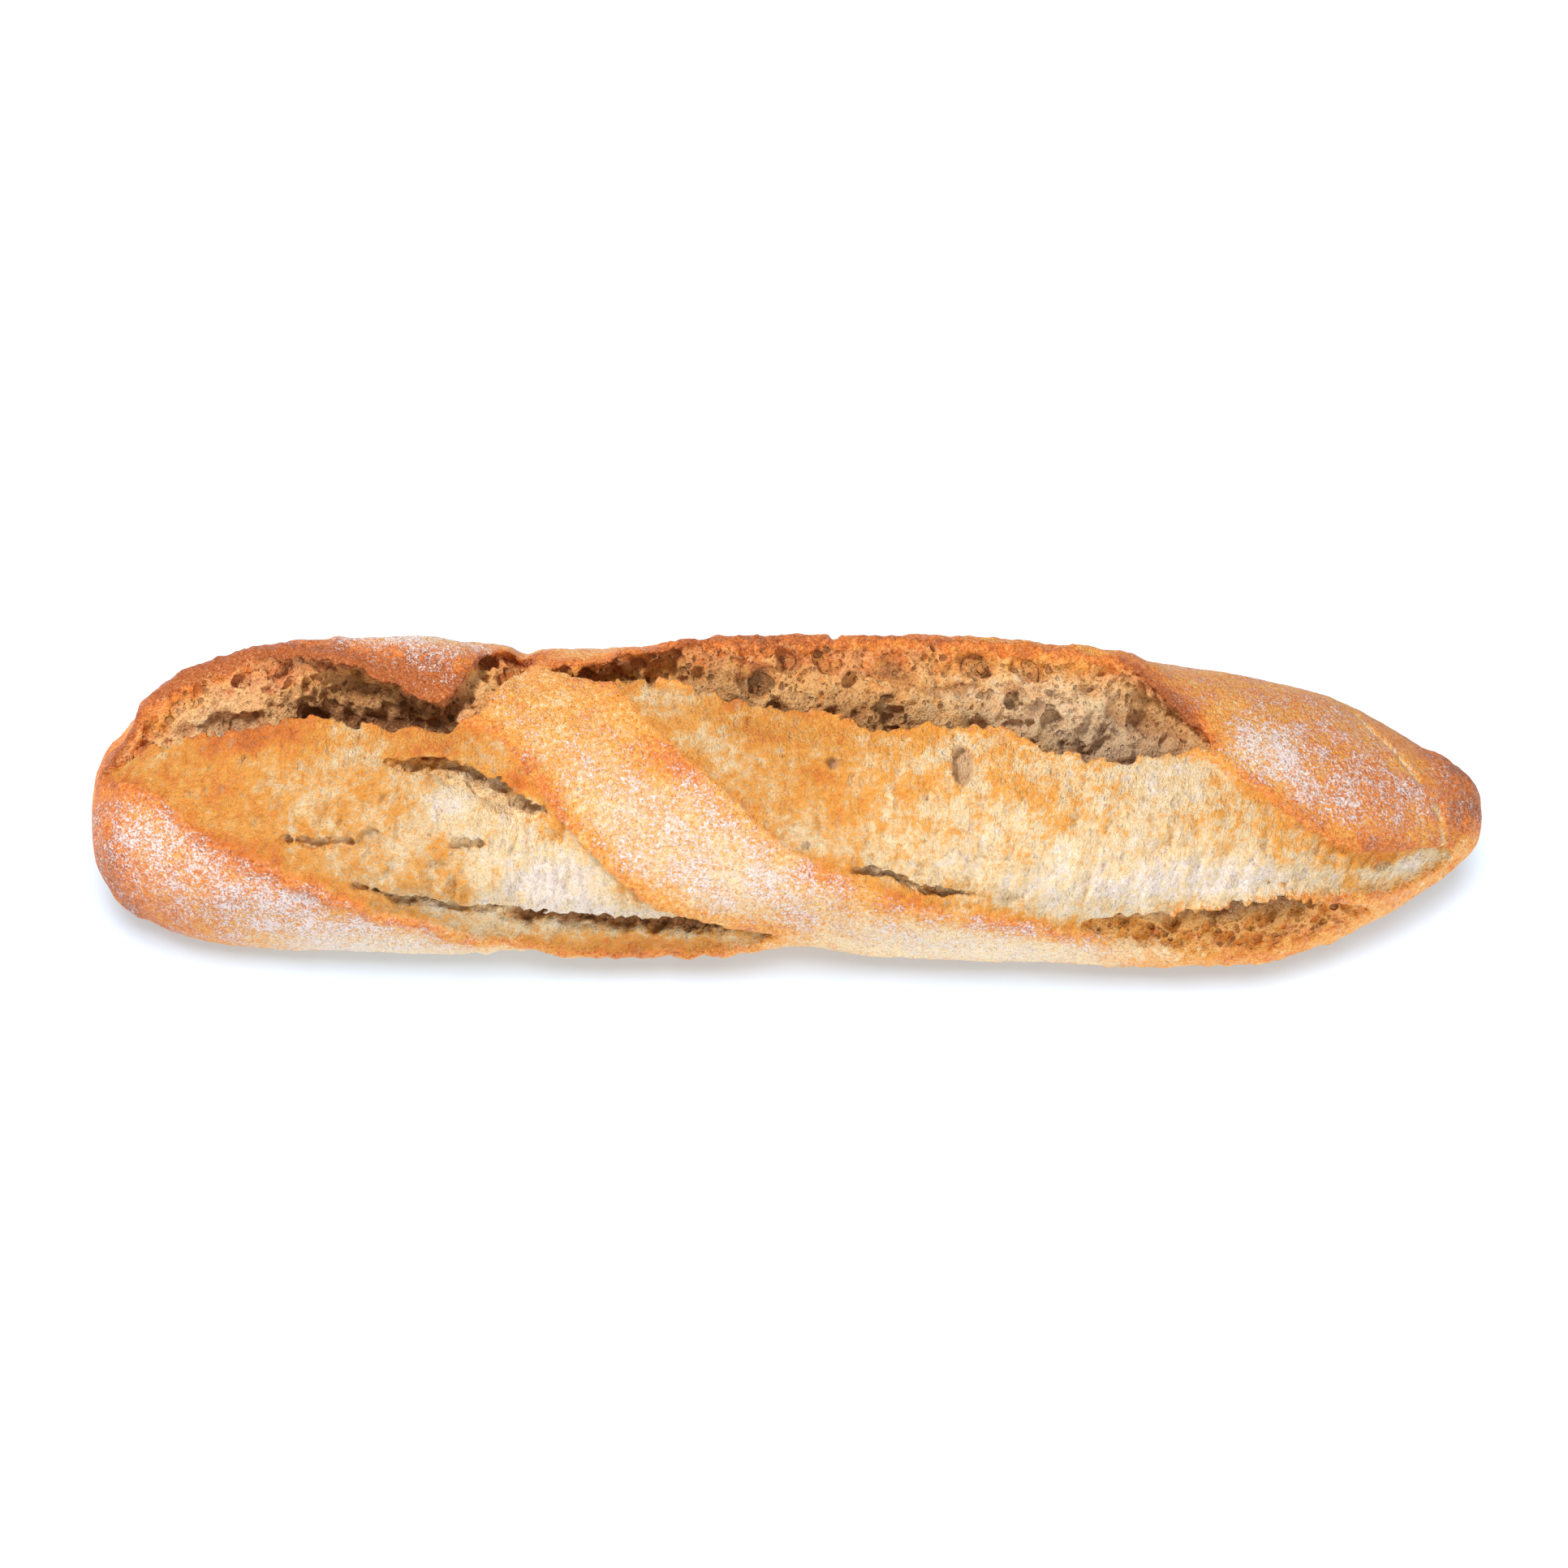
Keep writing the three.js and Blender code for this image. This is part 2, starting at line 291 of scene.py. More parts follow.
# Flat bubbles that the oven left open on the faces: station, turn, half sizes along and round,
# depth, and how sharp the rim is.
FACE_BUBBLES = [
    (39, 63, 2.5, 5.2, 2.6, 0.93),
    (10, 62, 1.4, 1.7, 1.8, 0.8),
    (9, 41, 4.0, 8.5, 0.9, 0.5),
    (32, 31, 2.4, 3.0, 0.8, 0.6),
    (-93, 32, 2.9, 2.2, 1.3, 0.8),
    (55, 57, 2.6, 5.0, 0.8, 0.4),
    (25, 49, 1.5, 3.6, 0.9, 0.5),
    (32, 49, 1.8, 2.4, 0.9, 0.6),
    (44, 24, 4.0, 3.0, 0.9, 0.5),
    (49, 12, 2.6, 1.5, 1.1, 0.8),
    (-122, 65, 0.9, 1.5, 1.2, 0.9),
    (-114, 44, 1.4, 2.2, 0.7, 0.6),
    (-90, 46, 1.3, 1.8, 0.8, 0.6),
    (-12, 49, 1.5, 1.2, 0.7, 0.6),
    (-9, 84, 0.7, 1.3, 1.1, 0.9),
    (4, 28, 0.9, 1.3, 1.2, 0.9),
    (67, 60, 1.6, 4.2, 0.7, 0.4),
    (82, 45, 1.6, 4.0, 0.7, 0.4),
    (22, 62, 1.2, 3.0, 0.5, 0.4),
    (-78, 22, 2.6, 1.6, 0.9, 0.6),
    (134, 20, 2.2, 1.1, 1.6, 0.8),
]

# Where the whole surface swells or sinks: station, turn, half sizes along and round, and how far.
SWELLINGS = [
    (-153.5, 128, 3.2, 14, -2.4),
    (10.5, 128, 0.9, 7, -1.6),
    (-38, 126, 3.0, 6, 0.9),
    (-20, 128, 2.0, 5, -0.6),
    (60, 128, 4.0, 6, -0.5),
    (2, -36, 11, 16, -2.2),
    (-61, -36, 6, 14, -1.6),
    (-60.5, 138, 2.6, 18, -2.0),
    (-26, -32, 22, 8, 0.6),
    (90, -34, 16, 9, 0.5),
    (-120, 60, 22, 14, 0.8),
    (60, 40, 30, 18, 0.8),
    (-75, 66, 7, 3, 1.1),
    (-64, 56, 6, 4, 1.1),
    (152, 120, 8, 10, 0.8),
    (146, 128, 3, 16, -0.7),
]

# Where the oven toasted the loaf more or less: station, turn, half sizes, and how much.
TOASTED = [
    (-34, 42, 20, 12, -0.10),
    (-8, 14, 24, 10, -0.12),
    (46, -14, 40, 9, -0.14),
    (8, 20, 8, 2.8, 0.26),
    (48, 1, 13, 2.4, 0.36),
    (62, -4, 10, 2.4, 0.34),
    (137, 22, 5, 2, 0.30),
    (152, 10, 6, 10, -0.30),
    (128, 24, 8, 2, 0.28),
    (88, 92, 4, 6, 0.3),
    (-88, 130, 18, 7, -0.18),
    (12, 103, 8, 6, 0.35),
    (130, 80, 20, 30, 0.06),
    (-60, -34, 40, 6, -0.20),
    (40, -30, 50, 8, -0.18),
    (142, 0, 8, 8, 0.10),
    (106, -23, 24, 4, -0.06),
    (10, 60, 26, 10, 0.05),
    (102, 21, 26, 5, -0.34),
    (-36, 0, 20, 4, -0.22),
    (-24, 116, 22, 8, 0.08),
    (56, 118, 34, 9, -0.22),
    (-117, 79, 13, 6, 0.50),
    (-140, 122, 20, 10, 0.32),
    (-112, 116, 22, 9, 0.34),
    (-92, 104, 16, 9, 0.40),
    (-79, 97, 8, 8, 0.38),
    (-76, 66, 8, 4, 0.22),
    (-62, 54, 5, 5, 0.20),
    (-52, 44, 3, 12, 0.16),
    (112, 96, 24, 22, 0.10),
    (140, 66, 12, 22, 0.20),
    (152, 44, 9, 18, 0.16),
    (104, 126, 34, 12, 0.12),
    (116, 60, 14, 8, 0.10),
    (28, 9, 14, 3.5, 0.32),
    (-122, 40, 14, 8, 0.04),
    (-96, 62, 8, 10, -0.10),
    (-132, 72, 12, 8, 0.16),
    (-128, 55, 16, 14, 0.09),
    (-98, 68, 12, 8, 0.08),
    (-82, 74, 9, 5, 0.22),
    (-89, 50, 12, 9, 0.10),
    (-75, 18, 12, 5, 0.10),
    (-60, 55, 7, 5, 0.22),
    (-66, 31, 10, 13, -0.12),
    (-52, 12, 12, 11, -0.34),
    (-99, 80, 8, 3, -0.16),
    (-76, 44, 9, 4, -0.28),
    (-12, 84, 24, 8, 0.14),
    (2, 68, 18, 14, 0.10),
    (7, 56, 3.5, 3, 0.20),
    (11, 44, 3.0, 5, 0.18),
    (24, 80, 14, 4, 0.14),
    (50, 57, 4.5, 6, 0.14),
    (28, 50, 4, 4, 0.12),
    (66, 20, 26, 13, -0.20),
    (92, 50, 17, 16, -0.04),
    (86, 70, 14, 8, -0.26),
    (86, 98, 7, 9, 0.34),
    (80, 112, 8, 5, 0.20),
    (30, 22, 12, 8, -0.06),
    (-30, 66, 6, 5, 0.30),
    (-24, 60, 5, 4, 0.22),
    (-22, 76, 16, 9, -0.08),
    (-2, -4, 9, 5, 0.24),
    (130, 62, 13, 13, 0.18),
    (121, 88, 12, 12, 0.10),
    (132, 34, 7, 6, 0.20),
    (141, 12, 9, 7, -0.40),
    (104, -8, 22, 6, 0.25),
    (-36, -20, 24, 6, 0.30),
    (-122, 14, 16, 8, 0.14),
    (-104, 4, 14, 6, 0.16),
    (-155, 30, 8, 60, 0.42),
    (-134, 6, 26, 26, 0.22),
    (-146, -26, 20, 18, 0.24),
    (156, 80, 8, 50, 0.52),
    (149, 134, 14, 16, 0.30),
    (-110, 150, 50, 26, 0.06),
    (30, 150, 80, 26, 0.08),
    (32, -14, 60, 9, -0.16),
    (-95, -16, 30, 9, -0.14),
    (-95, -34, 40, 10, -0.25),
    (104, -24, 24, 5, 0.22),
]
# Where flour still lies on the crust.
FLOURED = [
    (-88, 128, 16, 10, 0.40),
    (-145, 42, 14, 12, 0.46),
    (-130, 16, 26, 18, 0.54),
    (-108, -4, 26, 14, 0.55),
    (-86, -20, 30, 10, 0.45),
    (-60, 70, 12, 12, 0.36),
    (-45, 58, 12, 14, 0.34),
    (-32, 42, 14, 14, 0.36),
    (-18, 28, 16, 14, 0.46),
    (-4, 14, 16, 12, 0.48),
    (20, 0, 24, 10, 0.34),
    (46, -10, 30, 12, 0.34),
    (70, -24, 30, 10, 0.25),
    (105, 84, 11, 12, 0.82),
    (118, 62, 12, 12, 0.46),
    (98, 112, 14, 10, 0.15),
    (100, -22, 26, 6, -0.60),
    (-36, -20, 26, 6, -0.50),
    (150, 60, 6, 30, 0.20),
    (127, 106, 18, 18, 0.36),
    (138, 60, 14, 20, 0.42),
    (-85, 132, 20, 14, 0.60),
    (-75, 101, 4, 4, 0.35),
    (-120, 136, 20, 14, 0.30),
    (-60, 165, 60, 22, 0.40),
    (60, 165, 60, 22, 0.42),
    (120, 190, 30, 20, 0.35),
    (-130, 190, 30, 20, 0.35),
]

# Where the crumb of the openings stayed pale: station, turn, half sizes, and how much.
UNBAKED = [
    (-70, 104, 5, 18, 0.9),
    (80, 88, 14, 9, 1.0),
    (62, 96, 22, 8, 0.6),
    (-84, 86, 14, 5, 0.5),
    (-42, 115, 15, 6, 0.7),
    (-6, 112, 24, 7, 0.25),
    (54, 112, 36, 8, 0.40),
    (-134, 103, 20, 14, 0.75),
    (112, -2, 14, 8, 0.35),
]

# Where the crumb lies in deep shade.
SHADED = [
    (80, 81, 9, 4, 0.5),
    (-38, 114, 15, 6, 0.7),
    (72, 74, 14, 3, 0.4),
    (87, 86, 6, 5, 0.6),
    (15, 98, 8, 5, 0.5),
    (28, 14, 14, 6, -0.4),
    (-13, 111, 7, 4, 0.4),
    (76, 83, 9, 4, 0.4),
]

# The crease across the nose: turn, and its station.
NOSE_CREASE = [(0, 146), (20, 149), (60, 147), (90, 142), (120, 134), (150, 125)]

# Where the dough was drawn out into long fibres.
DRAWN = [
    (138, 14, 14, 9, 1.0),
    (80, 20, 40, 14, 0.5),
    (-52, 20, 14, 20, 1.0),
    (-64, 34, 8, 12, 0.6),
    (-120, 74, 12, 6, 0.3),
]
# Where the left face sank under the band.
SUNK = [(-50, 16, 12, 16, 1.4), (-60, 36, 7, 9, 0.8)]
# Where a face lies hardly lower than the crust beside it.
BLENDED = [(-30, 86, 9, 14, 0.9), (-19, 64, 8, 8, 0.5)]

# Stretches along the loaf, or round it: where each begins, is full, begins to fade and has faded.
RUFFLED_LEFT = (-80, -66, -12, -2)
RUFFLED_RIGHT = (66, 80, 126, 138)
RUFFLED_BELOW = (-24, -14)  # turns between which the ruffled low edges fade
EAR_TIP = (-150, -148.8, -146, -128)
EAR_TIP_ROUND = (104, 112, 124, 150)
CREASE_ROUND = (8, 22, 130, 150)
OFF_THE_FLOOR = (-52, -40, 220, 232)

# Layers of swells on each part: how high, how wide, and the seed of its own.
BODY_LAYERS = [(0.55, 24, 21), (0.4, 9, 22)]
RUFFLES = [(0.9, 4.2, 32)]
FINE_RUFFLES = [(0.5, 2.2, 33)]
EAR_LAYERS = [(0.6, 5, 34), (0.35, 2.2, 35)]
RIDGE_LAYERS = [(0.5, 6, 23)]
RIM_LAYERS = [(0.7, 3, 39), (0.5, 1.6, 40)]
FIBRE_LAYERS = [(0.42, 2.6, 24), (0.28, 1.3, 25)]
FACE_LAYERS = [(0.45, 6, 26)]
CRUST_LAYERS = [(0.24, 3.2, 27), (0.14, 1.6, 28)]
END_LAYERS = [(0.6, 4.5, 29), (0.4, 2.2, 30)]
CRUMB_LAYERS = [(1.2, 8, 44), (0.7, 3, 45)]
CREASE_WANDER = [(1.5, 6, 15), (0.6, 2.4, 16)]
CREASE_GAPS = [(1.0, 8, 17), (1.3, 2.6, 18)]
EDGE_WANDER_ROUND = [(0.9, 5, 11), (0.5, 1.8, 12)]
EDGE_WANDER_ALONG = [(0.9, 4, 13)]
RIM_WANDER = [(0.8, 3.5, 14)]
SKIN_TEARS = [(0.7, 3.4, 36), (0.4, 1.7, 37)]
SKIN_AREAS = [(0.4, 11, 38)]

# The crumb's bubbles: share of the full depth, size, how many of the cells have one, and seed.
CRUMB_BUBBLES = [(0.9, 6.5, 0.22, 41), (0.75, 3.8, 0.42, 42), (0.5, 2.3, 0.5, 43)]
# The small bubbles on the opened faces, in the same way.
SMALL_BUBBLES = (0.9, 2.4, 0.24, 31)

# How dark the painted shade makes the crumb with depth: how much, and the depths at which that begins and is
# full.
DEEP_SHADE = (1.0, 14, 17.5)
HALF_DEEP_SHADE = (0.3, 8, 13)
LOW_RIGHT_SHADE = (1.0, 3.5, 6.5)
LOW_CRACK_SHADE = (0.35, 1.5, 4.5)
LOW_LIP_SHADE = (1.1, 1.0, 2.6)
SPOT_SHADE = (1.0, 1.5, 3.5)

# ---- How finely the loaf is built ----
RINGS, SEGMENTS = 240, 200  # of the plain body, along the loaf and round it
FULL_STEP, QUICK_STEP = 0.7, 1.8  # millimetres between an opening's rows of points
FEWEST_FACES = 20000  # fewer than this means that an opening has cut the body away
FIRST_OPENING_SEED, SEEDS_PER_OPENING = 100, 20

# What each vertex of the loaf holds for its material, besides the place along its fibres.
VERTEX_VALUES = (
    "torn",
    "lip",
    "rim",
    "cover",
    "crease",
    "deep",
    "pit",
    "toast",
    "flour",
    "ear",
    "baked",
    "pale",
    "shaded",
    "drawn",
    "bubble",
)

# ---- How the loaf is coloured ----
# Toast runs from pale dough at 0, through golden and brown, to the darkest crust at 1.
TOAST_STEPS = [
    ("Pale", -0.35, 0.05),
    ("Golden", 0.0, 0.42),
    ("Brown", 0.38, 0.78),
    ("Dark", 0.72, 1.1),
]
CRUST_TOAST = 0.38
TORN_EDGE_TOAST = 0.24  # added along the crust's torn edges
RIM_TOAST = 0.46  # added along the rims of the hollows
EAR_TOAST = 0.08  # added on the ears
CREASE_TOAST = -0.75  # added in the crease across the nose
FACE_TOAST = 0.11
FACE_SKIN_TOAST = 0.18  # added where a face's dried skin still lies
FACE_EDGE_TOAST = 0.14  # added where a face meets the crust
STREAK_TOAST, PATCH_TOAST, CLOUD_TOAST = 1.7, 0.65, 1.1  # how far the faces' toast wanders
WALL_TOP_TOAST, WALL_DEEP_TOAST = 0.70, 0.24  # of the hollows' walls, under the rim and deep down
FLOUR_COVER = 0.88  # how much of the crust's colour flour hides
PALE_CRUMB = (0.80, 0.64, 0.50)
# Painted shade in the finest dents of the grit, and painted highlight on its finest tips.
PAINTED_GRIT_SHADE = (0.58, 0.40, 0.28)  # what a surface's colour is multiplied by in its finest dents
PAINTED_GRIT_HIGHLIGHT = (0.98, 0.76, 0.46)  # what is mixed in on its finest tips
CRUST_ROUGHNESS, DRY_ROUGHNESS = 0.58, 0.9  # of bare crust, and of flour and crumb
CRUST_SPECULAR = 0.35

# ---- The stage ----
FLOOR_COLOUR = (0.405, 0.48, 0.58, 1)  # slightly cool, against the warm light that the loaf throws back
FLOOR_GLOW = 0.385
STUDIO_LIGHT = 0.5
# Each lamp: place and width in metres, watts, and what it lights. The loaf and the floor are lit
# apart, so that the floor keeps a soft grey shadow.
LAMPS = [
    ("Key", (-0.60, 0.04, 1.0), 0.2, 14.0, "Loaf"),
    ("Fill", (0.46, -0.96, 0.22), 0.9, 10.8, "Loaf"),
    ("Overhead", (-0.02, -0.26, 1.2), 0.8, 28.0, "Floor"),
]
CAMERA_ELEVATION = 50  # degrees above the floor
CAMERA_DISTANCE = 1.1  # metres
PICTURE_WIDTH = 359.85  # how many millimetres the picture spans at the loaf
PICTURE_RIGHT, PICTURE_UP = -0.93, 3.54  # from the middle of the outline to the middle of the picture
MIDDLE_HEIGHT = 27.5  # of the loaf's axis
SENSOR_WIDTH = 36  # millimetres

# ---- Dough noise, as arrays ----


def smoothstep(low, high, value):
    """0 at low and 1 at high, easing in and out between them."""
    t = np.clip((value - low) / (high - low), 0, 1)
    return t * t * (3 - 2 * t)


def between(value, begins, full, fades, gone):
    """1 from full to fades, easing to 0 at both ends."""
    return smoothstep(begins, full, value) * (1 - smoothstep(fades, gone, value))


def hump(value, middle, half_width):
    """A soft hump, 1 in its middle."""
    return np.exp(-(((value - middle) / half_width) ** 2))


def scatter(cells, seed):
    """Three steady random numbers from 0 to 1 for each whole-number cell: large odd factors mix its bits."""
    i, j, k = (cells[:, axis].astype(np.int64).astype(np.uint32) for axis in range(3))
    mixed = i * np.uint32(73856093) ^ j * np.uint32(19349663) ^ k * np.uint32(83492791)
    mixed = mixed + np.uint32(seed * 2654435761 % 2**32)
    found = []
    for turn in range(3):
        mixed = (mixed ^ (mixed >> np.uint32(15))) * np.uint32(2246822519)
        mixed = (mixed ^ (mixed >> np.uint32(13))) * np.uint32(3266489917)
        mixed = mixed ^ (mixed >> np.uint32(16))
        found.append(mixed.astype(np.float64) / 2**32)
        mixed = mixed + np.uint32(374761393 + turn)
    return np.stack(found, axis=1)


def swell(points, size, seed):
    """Smooth lumps of about that size, from about -1 to 1."""
    spot = points / size
    cell = np.floor(spot)
    inside = spot - cell
    ease = inside**3 * (inside * (inside * 6 - 15) + 10)
    total = np.zeros(len(points))
    for corner in np.ndindex(2, 2, 2):
        step = np.array(corner)
        lean = scatter(cell + step, seed) * 2 - 1
        share = np.prod(np.where(step, ease, 1 - ease), axis=1)
        total += share * np.sum(lean * (inside - step), axis=1)
    return np.clip(total * 1.5, -1, 1)


def layers(points, rows):
    """Swells laid one on another: each row is a height, a size and a seed."""
    return sum(height * swell(points, size, seed) for height, size, seed in rows)


def shove(points, wide, fine, seed):
    """A direction that wanders from place to place, by wide lumps and half as much by fine ones."""
    return np.stack(
        [swell(points, wide, seed + axis) + 0.5 * swell(points, fine, seed + 3 + axis) for axis in range(3)],
        axis=1,
    )


def tips(points, size, seed):
    """Sharp torn tips of about that size, from about -1 to 0.6."""
    return 0.6 - 2.4 * np.abs(swell(points, size, seed))


def bubbles(points, size, chance, seed):
    """How deep each point lies in a round bubble of about that size, 0 outside and 1 in the middle."""
    spot = points / size
    cell = np.floor(spot)
    smallest, growth = 0.3, 0.36  # of the bubbles' radii, in cells
    deepest = np.zeros(len(points))
    for corner in np.ndindex(3, 3, 3):
        near = cell + np.array(corner) - 1
        place_in, kind = scatter(near, seed), scatter(near, seed + 57)
        radius = smallest + growth * kind[:, 1]
        gap = np.linalg.norm(spot - near - place_in, axis=1)
        cap = np.sqrt(np.maximum(1 - (gap / radius) ** 2, 0)) * (radius / (smallest + growth))
        deepest = np.maximum(deepest, np.where(kind[:, 0] < chance, cap, 0))
    return deepest


# ---- The crust as a function of station and turn ----


def along(rows, column, x, shape=lambda v: v):
    """A smooth curve that never overshoots, through one column of the rows as shape changes it."""
    table = np.array(rows, dtype=float)
    knots, value = table[:, 0], shape(table[:, column])
    span = np.diff(knots)
    slope = np.diff(value) / span
    before, after = slope[:-1], slope[1:]
    both = before * after > 0
    middle = np.where(both, 2 * before * after / np.where(both, before + after, 1), 0)
    tangent = np.concatenate(([slope[0]], middle, [slope[-1]]))
    at = np.clip(x, knots[0], knots[-1])
    i = np.clip(np.searchsorted(knots, at, side="right") - 1, 0, len(span) - 1)
    t = (at - knots[i]) / span[i]
    return (
        (2 * t**3 - 3 * t**2 + 1) * value[i]
        + (t**3 - 2 * t**2 + t) * span[i] * tangent[i]
        + (3 * t**2 - 2 * t**3) * value[i + 1]
        + (t**3 - t**2) * span[i] * tangent[i + 1]
    )


def ear_share(x, turn):
    """How much of the ears' lift each place has, 0 to 1."""
    share = 0
    for first, last, rim in EAR_RIMS:
        reach = between(x, first, first + EAR_START, last - EAR_END, last)
        share = share + reach * between(turn, rim - EAR_FOOT, rim - EAR_TOP, rim, rim + EAR_BACK)
    return share


def crust_radius(x, turn):
    """How far the crust lies from the loaf's axis."""
    angle = np.radians(turn)
    wide = np.maximum(np.sqrt(np.maximum(along(OUTLINE, 1, x, np.square), 0)), TINY)
    above = np.sin(angle) > 0
    tall = wide * np.where(above, CROWN_PER_HALF_WIDTH, BELLY_PER_HALF_WIDTH)
    power = np.where(above, CROWN_ROUNDNESS, BELLY_ROUNDNESS)
    across = np.abs(np.cos(angle) / wide) ** power
    up = np.abs(np.sin(angle) / tall) ** power
    radius = (across + up) ** (-1 / power) + EAR_LIFT * ear_share(x, turn)
    to_floor = np.where(above, np.inf, along(AXIS_HEIGHT, 1, x) / np.maximum(-np.sin(angle), TINY))
    return np.minimum(radius, to_floor)


def place(x, turn, depth):
    """The points that lie a given depth under the crust, as rows of millimetres."""
    angle = np.radians(turn)
    reach = crust_radius(x, turn) - depth
    y = along(OUTLINE, 2, x) - MIDDLE_Y - reach * np.cos(angle)
    z = along(AXIS_HEIGHT, 1, x) + reach * np.sin(angle)
    return np.stack((x + 0 * y, y, z), axis=1)


def whereabouts(points):
    """The station, turn and depth of each point, and its direction out from the axis."""
    x = points[:, 0]
    y = points[:, 1] - along(OUTLINE, 2, x) + MIDDLE_Y
    z = points[:, 2] - along(AXIS_HEIGHT, 1, x)
    turn = np.degrees(np.arctan2(z, -y))
    turn = np.where(turn < -90, turn + 360, turn)
    reach = np.hypot(y, z)
    out = np.stack((0 * x, y, z), axis=1) / np.maximum(reach, TINY)[:, None]
    return x, turn, crust_radius(x, turn) - reach, out


def skin(x, turn):
    """The crust unrolled flat: millimetres along the loaf and round it."""
    return np.stack((x, np.radians(turn) * MEAN_RADIUS, 0 * x), axis=1)


def inside_face(rows, x, turn):
    """Millimetres from the edge of an opened face, positive on the face."""
    spacing = 0.4  # of the points along the edge
    end_points = 40  # across each of its two ends
    stations = np.arange(rows[0][0], rows[-1][0] + 0.01, spacing)
    low, high = along(rows, 1, stations), along(rows, 2, stations)
    edge = []
    for turns in (low, high):
        line = skin(stations, turns)
        steps = np.maximum(np.linalg.norm(np.diff(line, axis=0), axis=1) / spacing, 1).astype(int)
        for a, b, count in zip(line[:-1], line[1:], steps):
            edge.extend(a + (b - a) * part / count for part in range(count))
    for station, a, b in ((stations[0], low[0], high[0]), (stations[-1], low[-1], high[-1])):
        turns = np.linspace(a, b, end_points)
        edge.extend(skin(np.full(end_points, station), turns))
    tree = KDTree(len(edge))
    for index, spot in enumerate(edge):
        tree.insert(spot, index)
    tree.balance()
    found = skin(x, turn)
    gap = np.array([tree.find(spot)[2] for spot in found])
    on = (x > rows[0][0]) & (x < rows[-1][0])
    on = on & (turn > along(rows, 1, x)) & (turn < along(rows, 2, x))
    return np.where(on, gap, -gap)


def spots(rows, x, turn):
    """The sum of soft spots: each row is a station, a turn, two half sizes and an amount."""
    total = np.zeros(len(x))
    for station, at_turn, half_x, half_round, amount in rows:
        around = np.radians(turn - at_turn) * MEAN_RADIUS
        total += amount * np.exp(-(((x - station) / half_x) ** 2) - (around / half_round) ** 2)
    return total


# ---- Settings ----


class BaguetteShape(bpy.types.PropertyGroup):
    """The sizes of the loaf's tears, bubbles and finest detail"""

    crumb_step: FloatProperty(
        name="Crumb step",
        description="The finest detail of the skin that is laid over the loaf",
        default=0.6 * MM,
        min=0.3 * MM,
        unit="LENGTH",
        precision=5,
    )
    torn_recess: FloatProperty(
        name="Torn recess",
        description="How far the opened faces lie below the crust",
        default=1.6 * MM,
        unit="LENGTH",
        precision=5,
    )
    ridge: FloatProperty(
        name="Crust ridge",
        description="How far the crust stands up along a torn edge",
        default=0.9 * MM,
        unit="LENGTH",
        precision=5,
    )
    raggedness: FloatProperty(
        name="Raggedness",
        description="How far the torn walls wander",
        default=1.1 * MM,
        unit="LENGTH",
        precision=5,
    )
    bubble_depth: FloatProperty(
        name="Bubble depth",
        description="How deep the bubbles go in the crumb of the hollows",
        default=2.8 * MM,
        unit="LENGTH",
        precision=5,
    )
    most_triangles: IntProperty(
        name="Most triangles",
        description="How many triangles the finished loaf may have",
        default=196000,
        min=20000,
    )


class BaguetteColours(bpy.types.PropertyGroup):
    """The colours of the loaf's dough, crust and flour"""

    cream: FloatVectorProperty(
        name="Cream crumb",
        description="The palest crumb, low on the opened faces",
        subtype="COLOR",
        default=(0.97, 0.82, 0.71),
    )
    pale: FloatVectorProperty(
        name="Pale crumb",
        description="The crumb that opened last",
        subtype="COLOR",
        default=(0.94, 0.70, 0.40),
    )
    golden: FloatVectorProperty(
        name="Golden",
        description="Lightly toasted dough",
        subtype="COLOR",
        default=(0.89, 0.375, 0.055),
    )
    brown: FloatVectorProperty(
        name="Brown",
        description="Well toasted crust",
        subtype="COLOR",
        default=(0.80, 0.215, 0.030),
    )
    dark: FloatVectorProperty(
        name="Dark",
        description="The darkest edges of the crust",
        subtype="COLOR",
        default=(0.46, 0.11, 0.018),
    )
    flour: FloatVectorProperty(
        name="Flour",
        description="The flour dusted on the crust",
        subtype="COLOR",
        default=(0.91, 0.83, 0.81),
    )
    # Painted shade: the darker brown that the crumb is painted towards further down in the hollows.
    hollow: FloatVectorProperty(
        name="Hollow crumb",
        description="The moist crumb deep in the hollows",
        subtype="COLOR",
        default=(0.54, 0.28, 0.105),
    )
    # Partly the greyer crumb under the torn skin, partly painted shade inside the flat bubbles and the small
    # holes.
    sunken_and_shaded: FloatVectorProperty(
        name="Sunken skin",
        description="The insides of the flat bubbles on the faces",
        subtype="COLOR",
        default=(0.62, 0.42, 0.26),
    )
    crest: FloatVectorProperty(
        name="Bubble rims",
        description="The thin dried rims between the bubbles",
        subtype="COLOR",
        default=(0.93, 0.62, 0.28),
    )
    # Painted shade: the dark colour painted into the crumb's bubbles, its pores and its deep shade.
    pit: FloatVectorProperty(
        name="Bubble insides",
        description="The insides of the bubbles",
        subtype="COLOR",
        default=(0.24, 0.085, 0.025),
    )


# ---- Meshes ----


def coordinates(mesh):
    """The mesh's points as rows of millimetres."""
    values = np.empty(len(mesh.vertices) * 3, dtype=np.float32)
    mesh.vertices.foreach_get("co", values)
    return values.reshape(-1, 3).astype(np.float64) / MM


def set_coordinates(mesh, points):
    """Moves the mesh's points to rows of millimetres."""
    mesh.vertices.foreach_set("co", (points * MM).astype(np.float32).ravel())
    mesh.update()


def normals(mesh):
    values = np.empty(len(mesh.vertices) * 3, dtype=np.float32)
    mesh.vertex_normals.foreach_get("vector", values)
    return values.reshape(-1, 3).astype(np.float64)


def mesh_from(bm, name):
    mesh = bpy.data.meshes.new(name)
    bm.to_mesh(mesh)
    bm.free()
    return mesh


